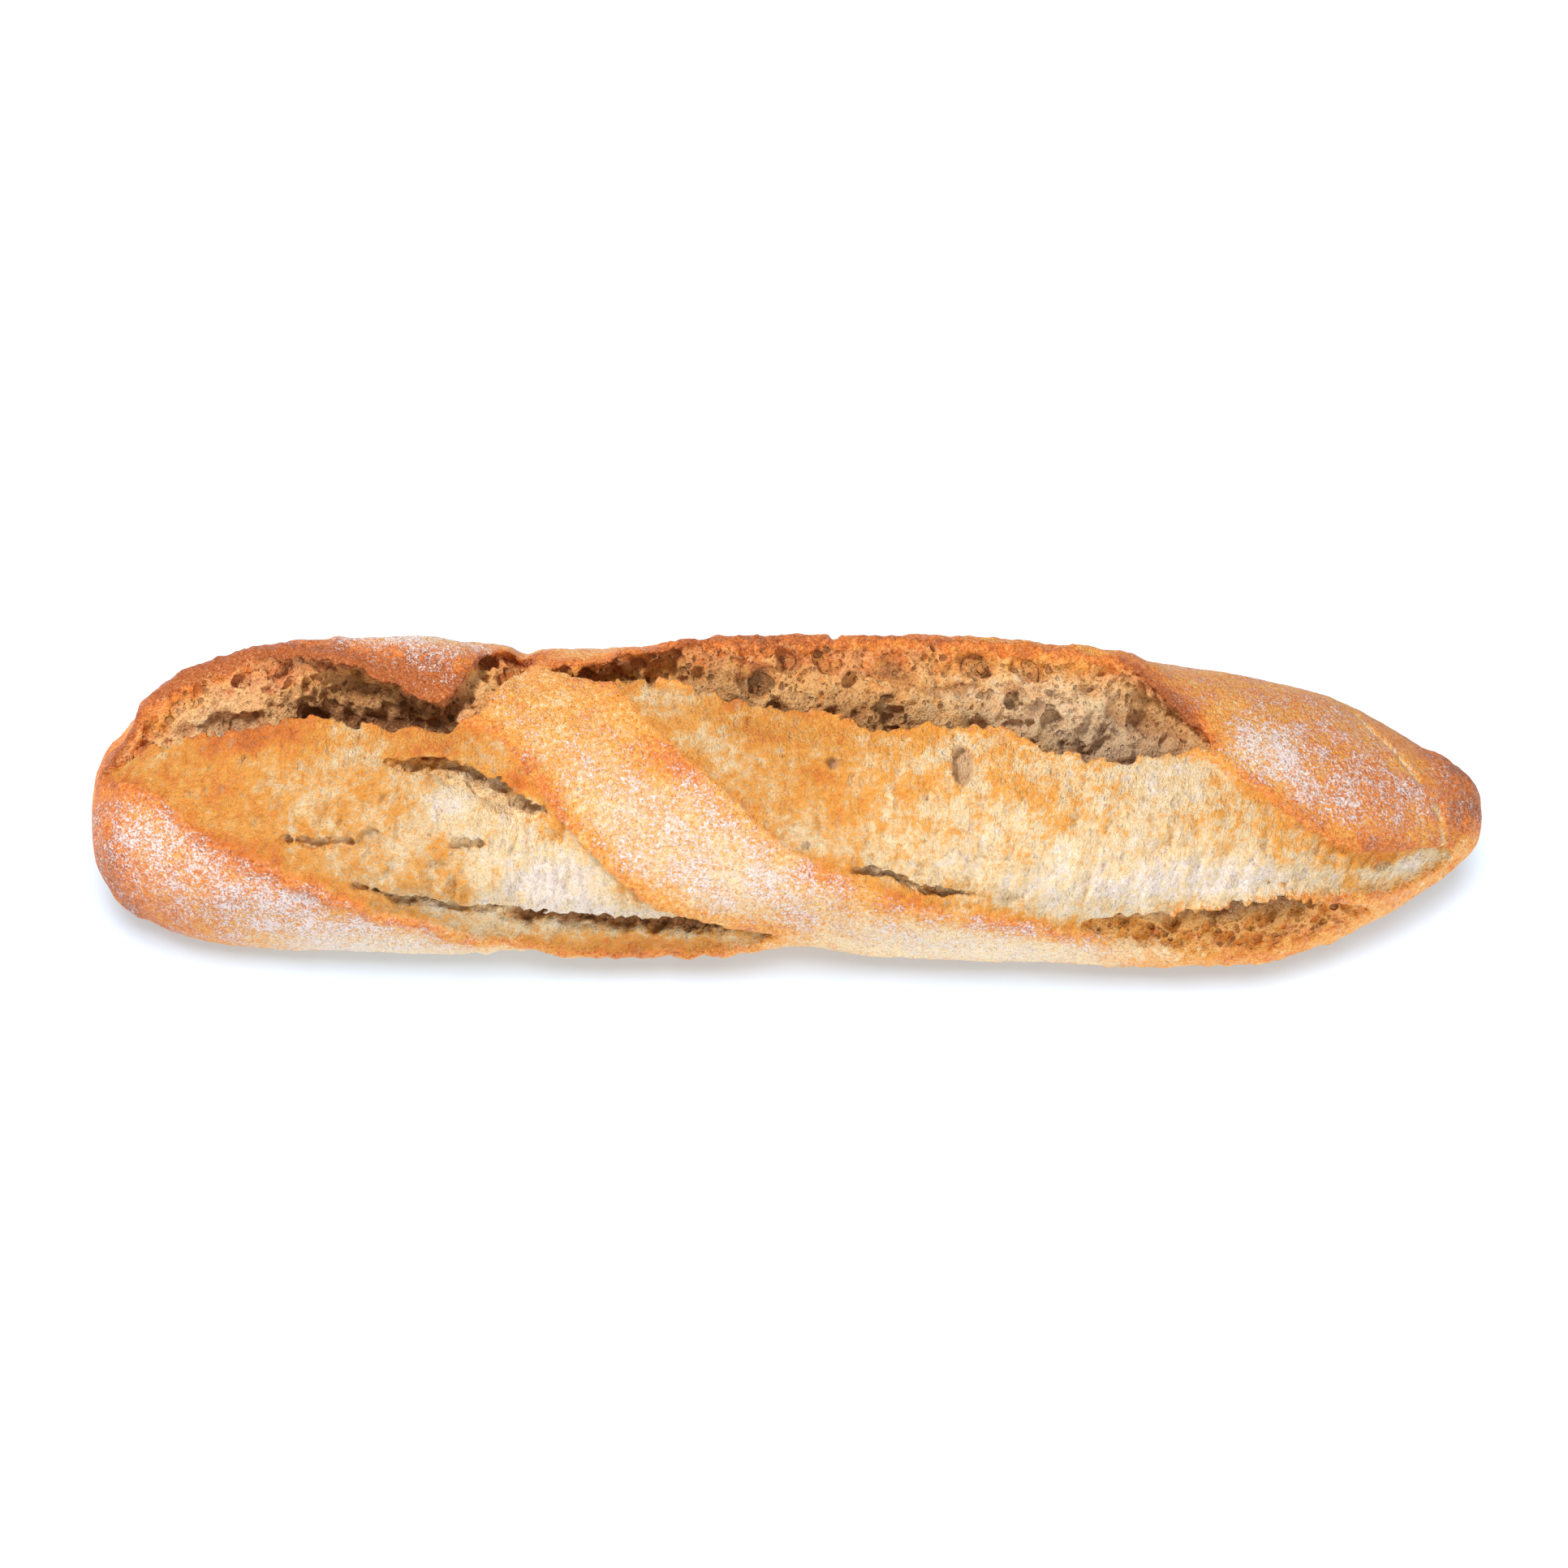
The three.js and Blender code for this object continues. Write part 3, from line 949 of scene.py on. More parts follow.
def body_mesh(rings, segments):
    """A ball with its poles at the loaf's two ends, moved out to the crust."""
    bm = bmesh.new()
    bmesh.ops.create_uvsphere(bm, u_segments=segments, v_segments=rings, radius=1)
    bmesh.ops.rotate(bm, verts=bm.verts, matrix=Matrix.Rotation(math.pi / 2, 3, "Y"))
    mesh = mesh_from(bm, "Body")
    ball = coordinates(mesh) * MM
    turn = np.degrees(np.arctan2(ball[:, 2], -ball[:, 1]))
    turn = np.where(turn < -90, turn + 360, turn)
    set_coordinates(mesh, place(ball[:, 0] * LENGTH / 2, turn, 0))
    return mesh


def fine_box(counts, name):
    """A cube of side 1, cut into that many parts along each axis, as a mesh."""
    bm = bmesh.new()
    bmesh.ops.create_cube(bm, size=1)
    for axis, count in enumerate(counts):
        edges = []
        for edge in bm.edges:
            span = edge.verts[0].co - edge.verts[1].co
            if abs(span[axis]) > 0.5 and abs(abs(span[axis]) - span.length) < TINY:
                edges.append(edge)
        bmesh.ops.subdivide_edges(bm, edges=edges, cuts=count - 1, use_grid_fill=True)
    return mesh_from(bm, name)


def opening_mesh(name, rows, ragged, seed, step):
    """A box bent along the crust, from above it down to the depth in its rows, with wandering walls."""
    first, last = rows[0][0], rows[-1][0]
    across, levels = 10, 9
    mesh = fine_box((int((last - first) / step), across, levels), name)
    box = coordinates(mesh) * MM + 0.5
    x = first + (last - first) * box[:, 0]

    # The top level stands above the crust, and the others share out the depth.
    down = (1 - box[:, 2]) * levels
    share = np.maximum(down - 1, 0) / (levels - 1)
    belly = 1 - 0.25 * (2 * box[:, 1] - 1) ** 4
    depth = np.where(down < 0.5, -RELIEF, share * along(rows, 3, x) * belly)
    per_mm = np.degrees(1 / (crust_radius(x, np.full(len(x), 90.0)) - depth))
    front = along(rows, 1, x) + along(rows, 4, x) * share * per_mm
    back = along(rows, 2, x) - along(rows, 5, x) * share * per_mm

    # The walls wander, less so at the opening's two ends, and never meet.
    wander = place(x, (front + back) / 2, np.maximum(depth, 0))
    width = ragged * per_mm * np.minimum(smoothstep(0, 2, x - first), smoothstep(0, 2, last - x))
    front = front + width * (0.8 * swell(wander, 5, seed) + tips(wander, 2.4, seed + 1))
    back = back + width * (0.8 * swell(wander, 6, seed + 2) + tips(wander, 2.2, seed + 3))
    back = np.maximum(back, front + 0.8)
    points = place(x, front + (back - front) * box[:, 1], depth)
    push = ragged * 0.9 * shove(points, 4, 1.8, seed + 5)
    set_coordinates(mesh, points + push * smoothstep(-1, 1.5, depth)[:, None])
    bm = bmesh.new()
    bm.from_mesh(mesh)
    bmesh.ops.recalc_face_normals(bm, faces=bm.faces)
    bm.to_mesh(mesh)
    bm.free()
    return mesh


def bubble_mesh(station, turn, depth, half_x, half_round, half_in):
    """A ball flattened along the crust."""
    at = np.array([float(station)])
    centre = Vector(place(at, np.array([float(turn)]), depth)[0])
    bm = bmesh.new()
    bmesh.ops.create_icosphere(bm, subdivisions=3, radius=1)
    sized = Matrix.Diagonal((half_x, half_round, half_in, 1))
    tilt = Matrix.Rotation(math.radians(turn - 90), 4, "X").inverted()
    in_place = Matrix.Scale(MM, 4) @ Matrix.Translation(centre) @ tilt @ sized
    bmesh.ops.transform(bm, verts=bm.verts, matrix=in_place)
    return mesh_from(bm, "Bubble")


def keep_largest(mesh):
    """Drops the crumbs that came loose."""
    bm = bmesh.new()
    bm.from_mesh(mesh)
    bm.verts.ensure_lookup_table()
    seen = bytearray(len(bm.verts))
    islands = []
    for start in bm.verts:
        if seen[start.index]:
            continue
        seen[start.index] = 1
        island, front = [start], [start]
        while front:
            vert = front.pop()
            for edge in vert.link_edges:
                other = edge.other_vert(vert)
                if not seen[other.index]:
                    seen[other.index] = 1
                    island.append(other)
                    front.append(other)
        islands.append(island)
    islands.sort(key=len)
    for island in islands[:-1]:
        bmesh.ops.delete(bm, geom=island, context="VERTS")
    bm.to_mesh(mesh)
    bm.free()


def solid_mesh(obj):
    """The object's mesh with its modifiers applied."""
    depsgraph = bpy.context.evaluated_depsgraph_get()
    return bpy.data.meshes.new_from_object(obj.evaluated_get(depsgraph))


def link(mesh, name):
    """A new object in the scene that holds the mesh."""
    obj = bpy.data.objects.new(name, mesh)
    bpy.context.scene.collection.objects.link(obj)
    return obj


# ---- The loaf's surface ----


def torn_distance(points, x, turn):
    """Millimetres inside the left and the right opened face, with ragged edges."""
    around = turn + np.degrees(layers(points, EDGE_WANDER_ROUND) / MEAN_RADIUS)
    shifted = x + layers(points, EDGE_WANDER_ALONG)
    return inside_face(LEFT_FACE, shifted, around), inside_face(RIGHT_FACE, shifted, around)


def rim_share(points, x, turn):
    """How close each place is to the upper rim of a hollow, 0 to 1."""
    gap = np.maximum(inside_face(LEFT_HOLLOW, x, turn), inside_face(RIGHT_HOLLOW, x, turn))
    gap = gap + layers(points, RIM_WANDER)
    between_hollows = -60
    share = 0
    for rows, side in ((LEFT_HOLLOW, x < between_hollows), (RIGHT_HOLLOW, x >= between_hollows)):
        middle = (along(rows, 1, x) + along(rows, 2, x)) / 2
        share = share + side * smoothstep(-4, 4, turn - middle)
    return share * (0.55 * hump(gap, 0, 2.0) + 0.45 * hump(gap, 0, 7.5))


def skin_cover(points, x, turn, toast):
    """Positive where the dried skin of an opened face still lies, negative where it tore away."""
    flat = skin(x, turn)
    pulled = np.stack((flat[:, 0] - 0.2 * flat[:, 1], flat[:, 1] / 2, flat[:, 2]), axis=1)
    return layers(pulled, SKIN_TEARS) + layers(points, SKIN_AREAS) + 1.4 * toast


def face_bubbles(x, turn):
    """The depth in millimetres of the flat bubbles left open on the faces."""
    total = np.zeros(len(x))
    for station, at_turn, half_x, half_round, depth, sharp in FACE_BUBBLES:
        around = np.radians(turn - at_turn) * MEAN_RADIUS
        gap = np.sqrt(((x - station) / half_x) ** 2 + (around / half_round) ** 2)
        total = np.maximum(total, depth * (1 - smoothstep(sharp, 1.1, gap)))
    return total


def fibre_space(x, turn):
    """The crust unrolled, and squeezed round the loaf so that lumps become long fibres."""
    flat = skin(x, turn)
    lean = 0.28 * smoothstep(20, 80, x)
    fibre_length = 5  # in lumps
    return np.stack((flat[:, 0] - lean * flat[:, 1], flat[:, 1] / fibre_length, flat[:, 2]), axis=1)


def relief(points, x, turn, torn, lip, rim, cover, crease, shape):
    """How far the surface stands out from the plain crust, in millimetres."""
    face = smoothstep(-0.4, 1.0, torn)
    crust = 1 - face
    height = layers(points, BODY_LAYERS) + spots(SWELLINGS, x, turn)

    # The ruffled low edges of the openings, the ears, and the lips and rims along the tears.
    ruffled = between(x, *RUFFLED_LEFT) + between(x, *RUFFLED_RIGHT)
    ruffled = ruffled * (1 - smoothstep(*RUFFLED_BELOW, turn))
    along_only = np.stack((x, 0 * x, 0 * x), axis=1)
    height = height + ruffled * (layers(along_only, RUFFLES) + layers(points, FINE_RUFFLES))
    height = height + ear_share(x, turn) * layers(points, EAR_LAYERS)
    ridge = shape.ridge / MM * hump(torn, -1.6, 1.5)
    height = height + lip * ridge * (0.7 + layers(points, RIDGE_LAYERS))
    height = height + rim * (0.4 + layers(points, RIM_LAYERS))
    height = height + 2.2 * between(x, *EAR_TIP) * between(turn, *EAR_TIP_ROUND)

    # The opened faces: sunk at their edges, fuller in their middles, fibrous and bubbly.
    shallow = 1 - np.clip(spots(BLENDED, x, turn), 0, 1)
    sunk = shape.torn_recess / MM + spots(SUNK, x, turn)
    height = height + face * shallow * (1.3 * smoothstep(3, 14, torn) - sunk)
    strong = 1 + 2 * np.clip(spots(DRAWN, x, turn), 0, 1)
    height = height + face * strong * layers(fibre_space(x, turn), FIBRE_LAYERS)
    height = height + face * layers(points, FACE_LAYERS)
    height = height + face * 0.5 * smoothstep(-0.12, 0.14, cover) - 1.4 * crease
    deepest, size, chance, seed = SMALL_BUBBLES
    small = deepest * bubbles(skin(x, turn) * (1, 0.5, 1), size, chance, seed)
    height = height - face * np.maximum(face_bubbles(x, turn), small * smoothstep(1, 4, torn))

    # The plain crust, which is rougher at the loaf's two ends.
    height = height + crust * layers(points, CRUST_LAYERS)
    height = height + crust * smoothstep(138, 152, np.abs(x)) * layers(points, END_LAYERS)
    return height * between(turn, *OFF_THE_FLOOR)


def crumb(points, wall, shape):
    """How deep the crumb's bubbles and how high its lumps are in the walls, in millimetres."""
    bent = (points + 1.1 * shove(points, 4.5, 2, 46)) * (0.8, 1, 1)
    pits = np.zeros(len(points))
    for share, size, chance, seed in CRUMB_BUBBLES:
        pits = np.maximum(pits, shape.bubble_depth / MM * share * bubbles(bent, size, chance, seed))
    return wall * pits, wall * layers(points, CRUMB_LAYERS)


def shade_share(x, turn, depth, low_right, low_lip):
    """How much of the deep shade's dark colour the crumb takes, 0 to 1."""

    def by_depth(row):
        amount, begins, full = row
        return amount * smoothstep(begins, full, depth)

    low_crack = (1 - smoothstep(62, 70, turn)) * (1 - low_right)
    shaded = by_depth(DEEP_SHADE) + by_depth(HALF_DEEP_SHADE) * (1 - low_right)
    shaded = shaded + by_depth(LOW_RIGHT_SHADE) * low_right + by_depth(LOW_CRACK_SHADE) * low_crack
    shaded = shaded + by_depth(LOW_LIP_SHADE) * low_lip + by_depth(SPOT_SHADE) * spots(SHADED, x, turn)
    return np.clip(shaded, 0, 1)


def bake_surface(mesh, shape):
    """Moves the plain loaf's surface to its relief and crumb, and returns what each vertex is made of."""
    points = coordinates(mesh)
    x, turn, depth, out = whereabouts(points)
    toast = spots(TOASTED, x, turn)
    left, right = torn_distance(points, x, turn)
    torn = np.maximum(left, right)
    lip = np.where(left > right, 1, 0.3 + 0.7 * smoothstep(66, 90, x))
    rim = rim_share(points, x, turn)
    cover = skin_cover(points, x, turn, toast)

    # The crease across the nose, broken here and there, with a faint one beside it.
    across = x - along(NOSE_CREASE, 1, turn) + layers(points, CREASE_WANDER)
    crease = hump(across, 0, 0.9) + 0.3 * hump(across, -5, 1.6)
    unbroken = np.clip(0.6 + layers(points, CREASE_GAPS), 0, 1)
    crease = crease * between(turn, *CREASE_ROUND) * unbroken

    low_right = smoothstep(60, 75, x) * (1 - smoothstep(20, 30, turn))
    low_lip = between(x, -68, -60, -8, 0) * (1 - smoothstep(-4, 2, turn))
    height = relief(points, x, turn, torn, lip, rim, cover, crease, shape)
    pits, lumps = crumb(points, smoothstep(0.7, 2.2, depth), shape)
    moved = points + out * height[:, None] + normals(mesh) * (lumps - pits)[:, None]
    moved[:, 2] = np.maximum(moved[:, 2], 0)
    set_coordinates(mesh, moved)
    upper = smoothstep(55, 80, turn)
    pale = spots(UNBAKED, x, turn)
    return {
        "torn": torn,
        "lip": lip,
        "rim": rim,
        "cover": cover,
        "crease": crease,
        "deep": depth,
        "pit": pits / (shape.bubble_depth / MM),
        "toast": toast,
        "flour": spots(FLOURED, x, turn),
        "ear": ear_share(x, turn),
        "baked": np.clip(1.25 * upper - pale, 0, 1.25) + 0.7 * low_right + 0.6 * low_lip,
        "pale": np.clip(pale, 0, 1) * upper,
        "shaded": shade_share(x, turn, depth, low_right, low_lip),
        "drawn": np.clip(smoothstep(-5, 40, x) + spots(DRAWN, x, turn), 0, 1),
        "bubble": face_bubbles(x, turn) * smoothstep(0, 1.5, torn),
    }, fibre_space(x, turn)


def store(mesh, values, vectors, old_points):
    """Carries what each vertex was made of over to the thinned mesh."""
    tree = KDTree(len(old_points))
    for index, spot in enumerate(old_points):
        tree.insert(spot, index)
    tree.balance()
    nearest = np.array([tree.find(spot)[1] for spot in coordinates(mesh)])
    for name, value in values.items():
        layer = mesh.attributes.new(name, "FLOAT", "POINT")
        layer.data.foreach_set("value", value[nearest].astype(np.float32))
    layer = mesh.attributes.new("fibres", "FLOAT_VECTOR", "POINT")
    layer.data.foreach_set("vector", vectors[nearest].astype(np.float32).ravel())


# ---- Materials ----


class Nodes:
    """Adds nodes to a tree, and links or sets their inputs by name."""

    def __init__(self, tree):
        self.tree = tree
        self.count = 0

    def add(self, kind, settings=None, **inputs):
        """A new node with its settings and inputs, laid out in columns of five."""
        node = self.tree.nodes.new(kind)
        node.location = (200 * (self.count // 5), -260 * (self.count % 5))
        self.count += 1
        for key, value in (settings or {}).items():
            setattr(node, key, value)
        for key, value in inputs.items():
            self.put(node, key.replace("_", " "), value)
        return node

    def put(self, node, key, value):
        """Links or sets one input, by its name or by its number, as in i0."""
        numbered = key[0] == "i" and key[1:].isdigit()
        socket = node.inputs[int(key[1:])] if numbered else node.inputs[key]
        if isinstance(value, bpy.types.NodeSocket):
            self.tree.links.new(value, socket)
        elif isinstance(value, bpy.types.Node):
            self.tree.links.new(value.outputs[0], socket)
        else:
            socket.default_value = value

    def math(self, operation, a, b=0.0, c=0.0, clamp=False):
        """One step of arithmetic. MULTIPLY_ADD gives a * b + c."""
        node = self.add("ShaderNodeMath", {"operation": operation, "use_clamp": clamp}, i0=a, i1=b)
        if operation == "MULTIPLY_ADD":
            self.put(node, "i2", c)
        return node.outputs[0]

    def ramp(self, value, low, high, to_low=0.0, to_high=1.0):
        """Eases from to_low to to_high as the value goes from low to high."""
        node = self.add(
            "ShaderNodeMapRange",
            {"interpolation_type": "SMOOTHSTEP"},
            Value=value,
            From_Min=low,
            From_Max=high,
            To_Min=to_low,
            To_Max=to_high,
        )
        return node.outputs[0]

    def mix(self, share, a, b, blend="MIX"):
        """The colour a, with a share of b mixed in."""
        node = self.add("ShaderNodeMix", {"data_type": "RGBA", "blend_type": blend}, i0=share)
        for key, colour in (("i6", a), ("i7", b)):
            self.put(node, key, colour if isinstance(colour, bpy.types.NodeSocket) else (*colour, 1))
        return node.outputs[2]

    def blend(self, share, a, b):
        """The value a, with a share of b mixed in."""
        return self.add("ShaderNodeMix", {"data_type": "FLOAT"}, i0=share, i2=a, i3=b).outputs[0]

    def noise(self, vector, size, detail=2.0, rough=0.5):
        """Noise of about that size in millimetres, from 0 to 1."""
        node = self.add("ShaderNodeTexNoise", {"normalize": True}, Vector=vector, Scale=1 / size)
        self.put(node, "Detail", detail)
        self.put(node, "Roughness", rough)
        return node.outputs["Fac"]

    def spread(self, value, amount):
        """A value from 0 to 1 made to run that far in all, around 0."""
        return self.math("MULTIPLY", self.math("SUBTRACT", value, 0.5), amount)

    def scale(self, vector, factors):
        return self.add("ShaderNodeVectorMath", {"operation": "MULTIPLY"}, i0=vector, i1=factors).outputs[0]

    def value(self, name):
        """One of the values that the loaf's vertices hold."""
        return self.add("ShaderNodeAttribute", {"attribute_name": name}).outputs["Fac"]

    def use(self, tree, **inputs):
        """A node group's outputs."""
        return self.add("ShaderNodeGroup", {"node_tree": tree}, **inputs).outputs


def new_group(name, inputs, outputs):
    """An empty node group with its sockets, and what adds nodes to it."""
    tree = bpy.data.node_groups.new(name, "ShaderNodeTree")
    for label, kind, default in inputs:
        socket = tree.interface.new_socket(label, in_out="INPUT", socket_type=kind)
        if default is not None:
            socket.default_value = default
    for label, kind in outputs:
        tree.interface.new_socket(label, in_out="OUTPUT", socket_type=kind)
    nodes = Nodes(tree)
    return tree, nodes, nodes.add("NodeGroupInput").outputs, nodes.add("NodeGroupOutput")


def toast_group(colours):
    """Toast, from pale dough through golden and brown to the darkest crust."""
    tree, n, given, out = new_group(
        "Toast colour",
        [
            ("Toast", "NodeSocketFloat", 0.5),
            ("Cream", "NodeSocketColor", (*colours.cream, 1)),
            ("Pale", "NodeSocketColor", (*colours.pale, 1)),
            ("Golden", "NodeSocketColor", (*colours.golden, 1)),
            ("Brown", "NodeSocketColor", (*colours.brown, 1)),
            ("Dark", "NodeSocketColor", (*colours.dark, 1)),
        ],
        [("Color", "NodeSocketColor")],
    )
    colour = given["Cream"]
    for name, begins, full in TOAST_STEPS:
        colour = n.mix(n.ramp(given["Toast"], begins, full), colour, given[name])
    n.put(out, "Color", colour)
    return tree


def flour_group():
    """Fine flour in drifts, thick where Amount is high."""
    tree, n, given, out = new_group(
        "Flour dust",
        [("Vector", "NodeSocketVector", None), ("Amount", "NodeSocketFloat", 0.5)],
        [("Mask", "NodeSocketFloat"), ("Height", "NodeSocketFloat")],
    )
    grains = n.noise(given["Vector"], size=0.55, detail=2, rough=0.6)
    flecks = n.noise(given["Vector"], size=1.7, detail=3, rough=0.6)
    drifts = n.noise(given["Vector"], size=7, detail=2, rough=0.5)
    level = n.math("MULTIPLY_ADD", grains, 0.68, n.math("MULTIPLY", flecks, 0.32))
    level = n.math("ADD", n.spread(drifts, 0.34), level)
    level = n.math("ADD", n.spread(given["Amount"], 0.2), level)
    mask = n.ramp(level, 0.46, 0.63)
    n.put(out, "Mask", mask)
    n.put(out, "Height", n.math("MULTIPLY", mask, 0.10))
    return tree


def holes(n, vector, size, chance):
    """Round holes up to about that size, 0 between them and 1 inside."""
    cells = n.add("ShaderNodeTexVoronoi", {"feature": "F1"}, Vector=vector, Scale=1 / size, Randomness=1.0)
    kind = n.add("ShaderNodeSeparateColor", Color=cells.outputs["Color"]).outputs
    radius = n.math("MULTIPLY_ADD", kind[0], 0.3, 0.16)
    hole = n.ramp(n.math("DIVIDE", cells.outputs["Distance"], radius), 1.1, 0.7)
    return n.math("MULTIPLY", hole, n.math("LESS_THAN", kind[1], chance))


def fibre_group():
    """Dough drawn out into fibres where the loaf opened, or only grainy where Drawn is low."""
    tree, n, given, out = new_group(
        "Drawn dough",
        [
            ("Vector", "NodeSocketVector", None),
            ("Fibres", "NodeSocketVector", None),
            ("Drawn", "NodeSocketFloat", 0.5),
        ],
        [("Height", "NodeSocketFloat"), ("Streak", "NodeSocketFloat"), ("Hole", "NodeSocketFloat")],
    )
    short = n.scale(given["Fibres"], (1, 2.2, 1))
    strands = n.noise(short, size=0.8, detail=3, rough=0.7)
    broad = n.noise(given["Fibres"], size=2.4, detail=2, rough=0.5)
    grit = n.noise(given["Vector"], size=0.7, detail=3, rough=0.7)
    lumps = n.noise(given["Vector"], size=2.2, detail=2, rough=0.5)
    small_hole = n.math("MULTIPLY", holes(n, short, size=1.0, chance=0.3), 0.6)
    hole = n.math("MAXIMUM", holes(n, short, size=1.9, chance=0.16), small_hole)
    grainy = n.math("MULTIPLY", grit, 2.0)
    stringy = n.math("MULTIPLY_ADD", grit, 0.9, n.math("MULTIPLY", strands, 2.2))
    height = n.blend(given["Drawn"], grainy, stringy)
    n.put(out, "Height", n.math("MULTIPLY_ADD", hole, -0.5, height))
    fine, coarse = n.blend(given["Drawn"], grit, strands), n.blend(given["Drawn"], lumps, broad)
    n.put(out, "Streak", n.math("MULTIPLY_ADD", fine, 0.75, n.math("MULTIPLY", coarse, 0.25)))
    n.put(out, "Hole", hole)
    return tree


def pore_group():
    """The crumb's small round pores."""
    tree, n, given, out = new_group(
        "Crumb pores",
        [("Vector", "NodeSocketVector", None)],
        [("Height", "NodeSocketFloat"), ("Hole", "NodeSocketFloat")],
    )
    rough = n.noise(given["Vector"], size=1.4, detail=2, rough=0.5)
    bent = n.add("ShaderNodeVectorMath", {"operation": "ADD"}, i0=given["Vector"], i1=rough).outputs[0]
    wide = holes(n, bent, size=2.6, chance=0.3)
    middling = holes(n, bent, size=1.5, chance=0.5)
    fine = holes(n, bent, size=0.8, chance=0.6)
    grit = n.noise(given["Vector"], size=0.6, detail=3, rough=0.7)
    height = n.math("MULTIPLY_ADD", wide, -1.0, n.math("MULTIPLY", grit, 1.1))
    height = n.math("MULTIPLY_ADD", middling, -0.6, height)
    n.put(out, "Height", n.math("MULTIPLY_ADD", fine, -0.3, height))
    hole = n.math("MAXIMUM", wide, n.math("MULTIPLY", middling, 0.85))
    n.put(out, "Hole", n.math("MAXIMUM", hole, n.math("MULTIPLY", fine, 0.6)))
    return tree


def crust_group():
    """The crust's fine blisters, and how its colour wanders."""
    tree, n, given, out = new_group(
        "Crust grain",
        [("Vector", "NodeSocketVector", None)],
        [("Height", "NodeSocketFloat"), ("Mottle", "NodeSocketFloat")],
    )
    blisters = n.noise(given["Vector"], size=1.1, detail=3, rough=0.65)
    fine = n.noise(given["Vector"], size=0.45, detail=2, rough=0.7)
    clouds = n.noise(given["Vector"], size=7, detail=4, rough=0.7)
    n.put(out, "Height", n.math("MULTIPLY_ADD", blisters, 1.3, n.math("MULTIPLY", fine, 0.7)))
    mottle = n.math("ADD", n.spread(blisters, 1.2), n.spread(clouds, 1.3))
    n.put(out, "Mottle", n.math("ADD", n.spread(fine, 0.6), mottle))
    return tree


def crust_look(n, mm, at, toast_tree, colours):
    """The crust's colour, the height of its grain, and its flour."""
    grain = n.use(crust_group(), Vector=mm)
    edge = n.math("MULTIPLY", n.ramp(at["torn"], -6.0, -0.5), n.math("MULTIPLY", at["lip"], TORN_EDGE_TOAST))
    ear = n.math("MULTIPLY", n.ramp(at["ear"], 0.3, 0.95), EAR_TOAST)
    burnt = n.math("MULTIPLY_ADD", at["rim"], RIM_TOAST, ear)
    toast = n.math("ADD", n.math("ADD", at["toast"], CRUST_TOAST), n.math("ADD", edge, burnt))
    toast = n.math("MULTIPLY_ADD", grain["Mottle"], n.ramp(toast, 0.1, 0.5, 0.6, 1.0), toast)
    toast = n.math("MULTIPLY_ADD", at["crease"], CREASE_TOAST, toast)
    colour = n.use(toast_tree, Toast=toast)["Color"]

    # Flour lies thin on the torn edges and on the rims.
    amount = n.math("MULTIPLY_ADD", edge, -1.2, n.math("MULTIPLY_ADD", burnt, -1.3, at["flour"]))
    dust = n.use(flour_group(), Vector=mm, Amount=amount)
    colour = n.mix(n.math("MULTIPLY", dust["Mask"], FLOUR_COVER), colour, colours.flour)
    return colour, n.math("ADD", grain["Height"], dust["Height"]), dust["Mask"]


def face_look(n, mm, fibres, at, drawn, toast_tree, colours):
    """The opened faces' colour: dried golden skin, torn in places down to the pale crumb."""
    tears = n.spread(n.noise(mm, size=1.3, detail=4, rough=0.7), 2.6)
    skin_left = n.ramp(n.math("ADD", at["cover"], tears), -0.5, 0.5)
    near = n.ramp(at["torn"], 0.0, 5.0, FACE_EDGE_TOAST, 0.0)
    toast = n.math("MULTIPLY_ADD", skin_left, FACE_SKIN_TOAST, near)
    toast = n.math("ADD", toast, n.math("ADD", at["toast"], FACE_TOAST))
    toast = n.math("ADD", toast, n.spread(drawn["Streak"], STREAK_TOAST))
    round_patches = n.noise(mm, size=2.4, detail=5, rough=0.75)
    long_patches = n.noise(n.scale(fibres, (1, 1.8, 1)), size=1.8, detail=4, rough=0.65)
    patches = n.blend(at["drawn"], round_patches, long_patches)
    toast = n.math("ADD", toast, n.spread(patches, PATCH_TOAST))
    toast = n.math("ADD", toast, n.spread(n.noise(mm, size=6, detail=4, rough=0.7), CLOUD_TOAST))
    colour = n.use(toast_tree, Toast=toast)["Color"]
    # The flat bubbles and small holes of the faces are painted greyer: partly their own colour, partly
    # painted shade.
    bubble = n.ramp(at["bubble"], 1.0, 1.9, 0.0, 0.7)
    return n.mix(n.math("MAXIMUM", n.math("MULTIPLY", drawn["Hole"], 0.34), bubble), colour, colours.sunken_and_shaded)


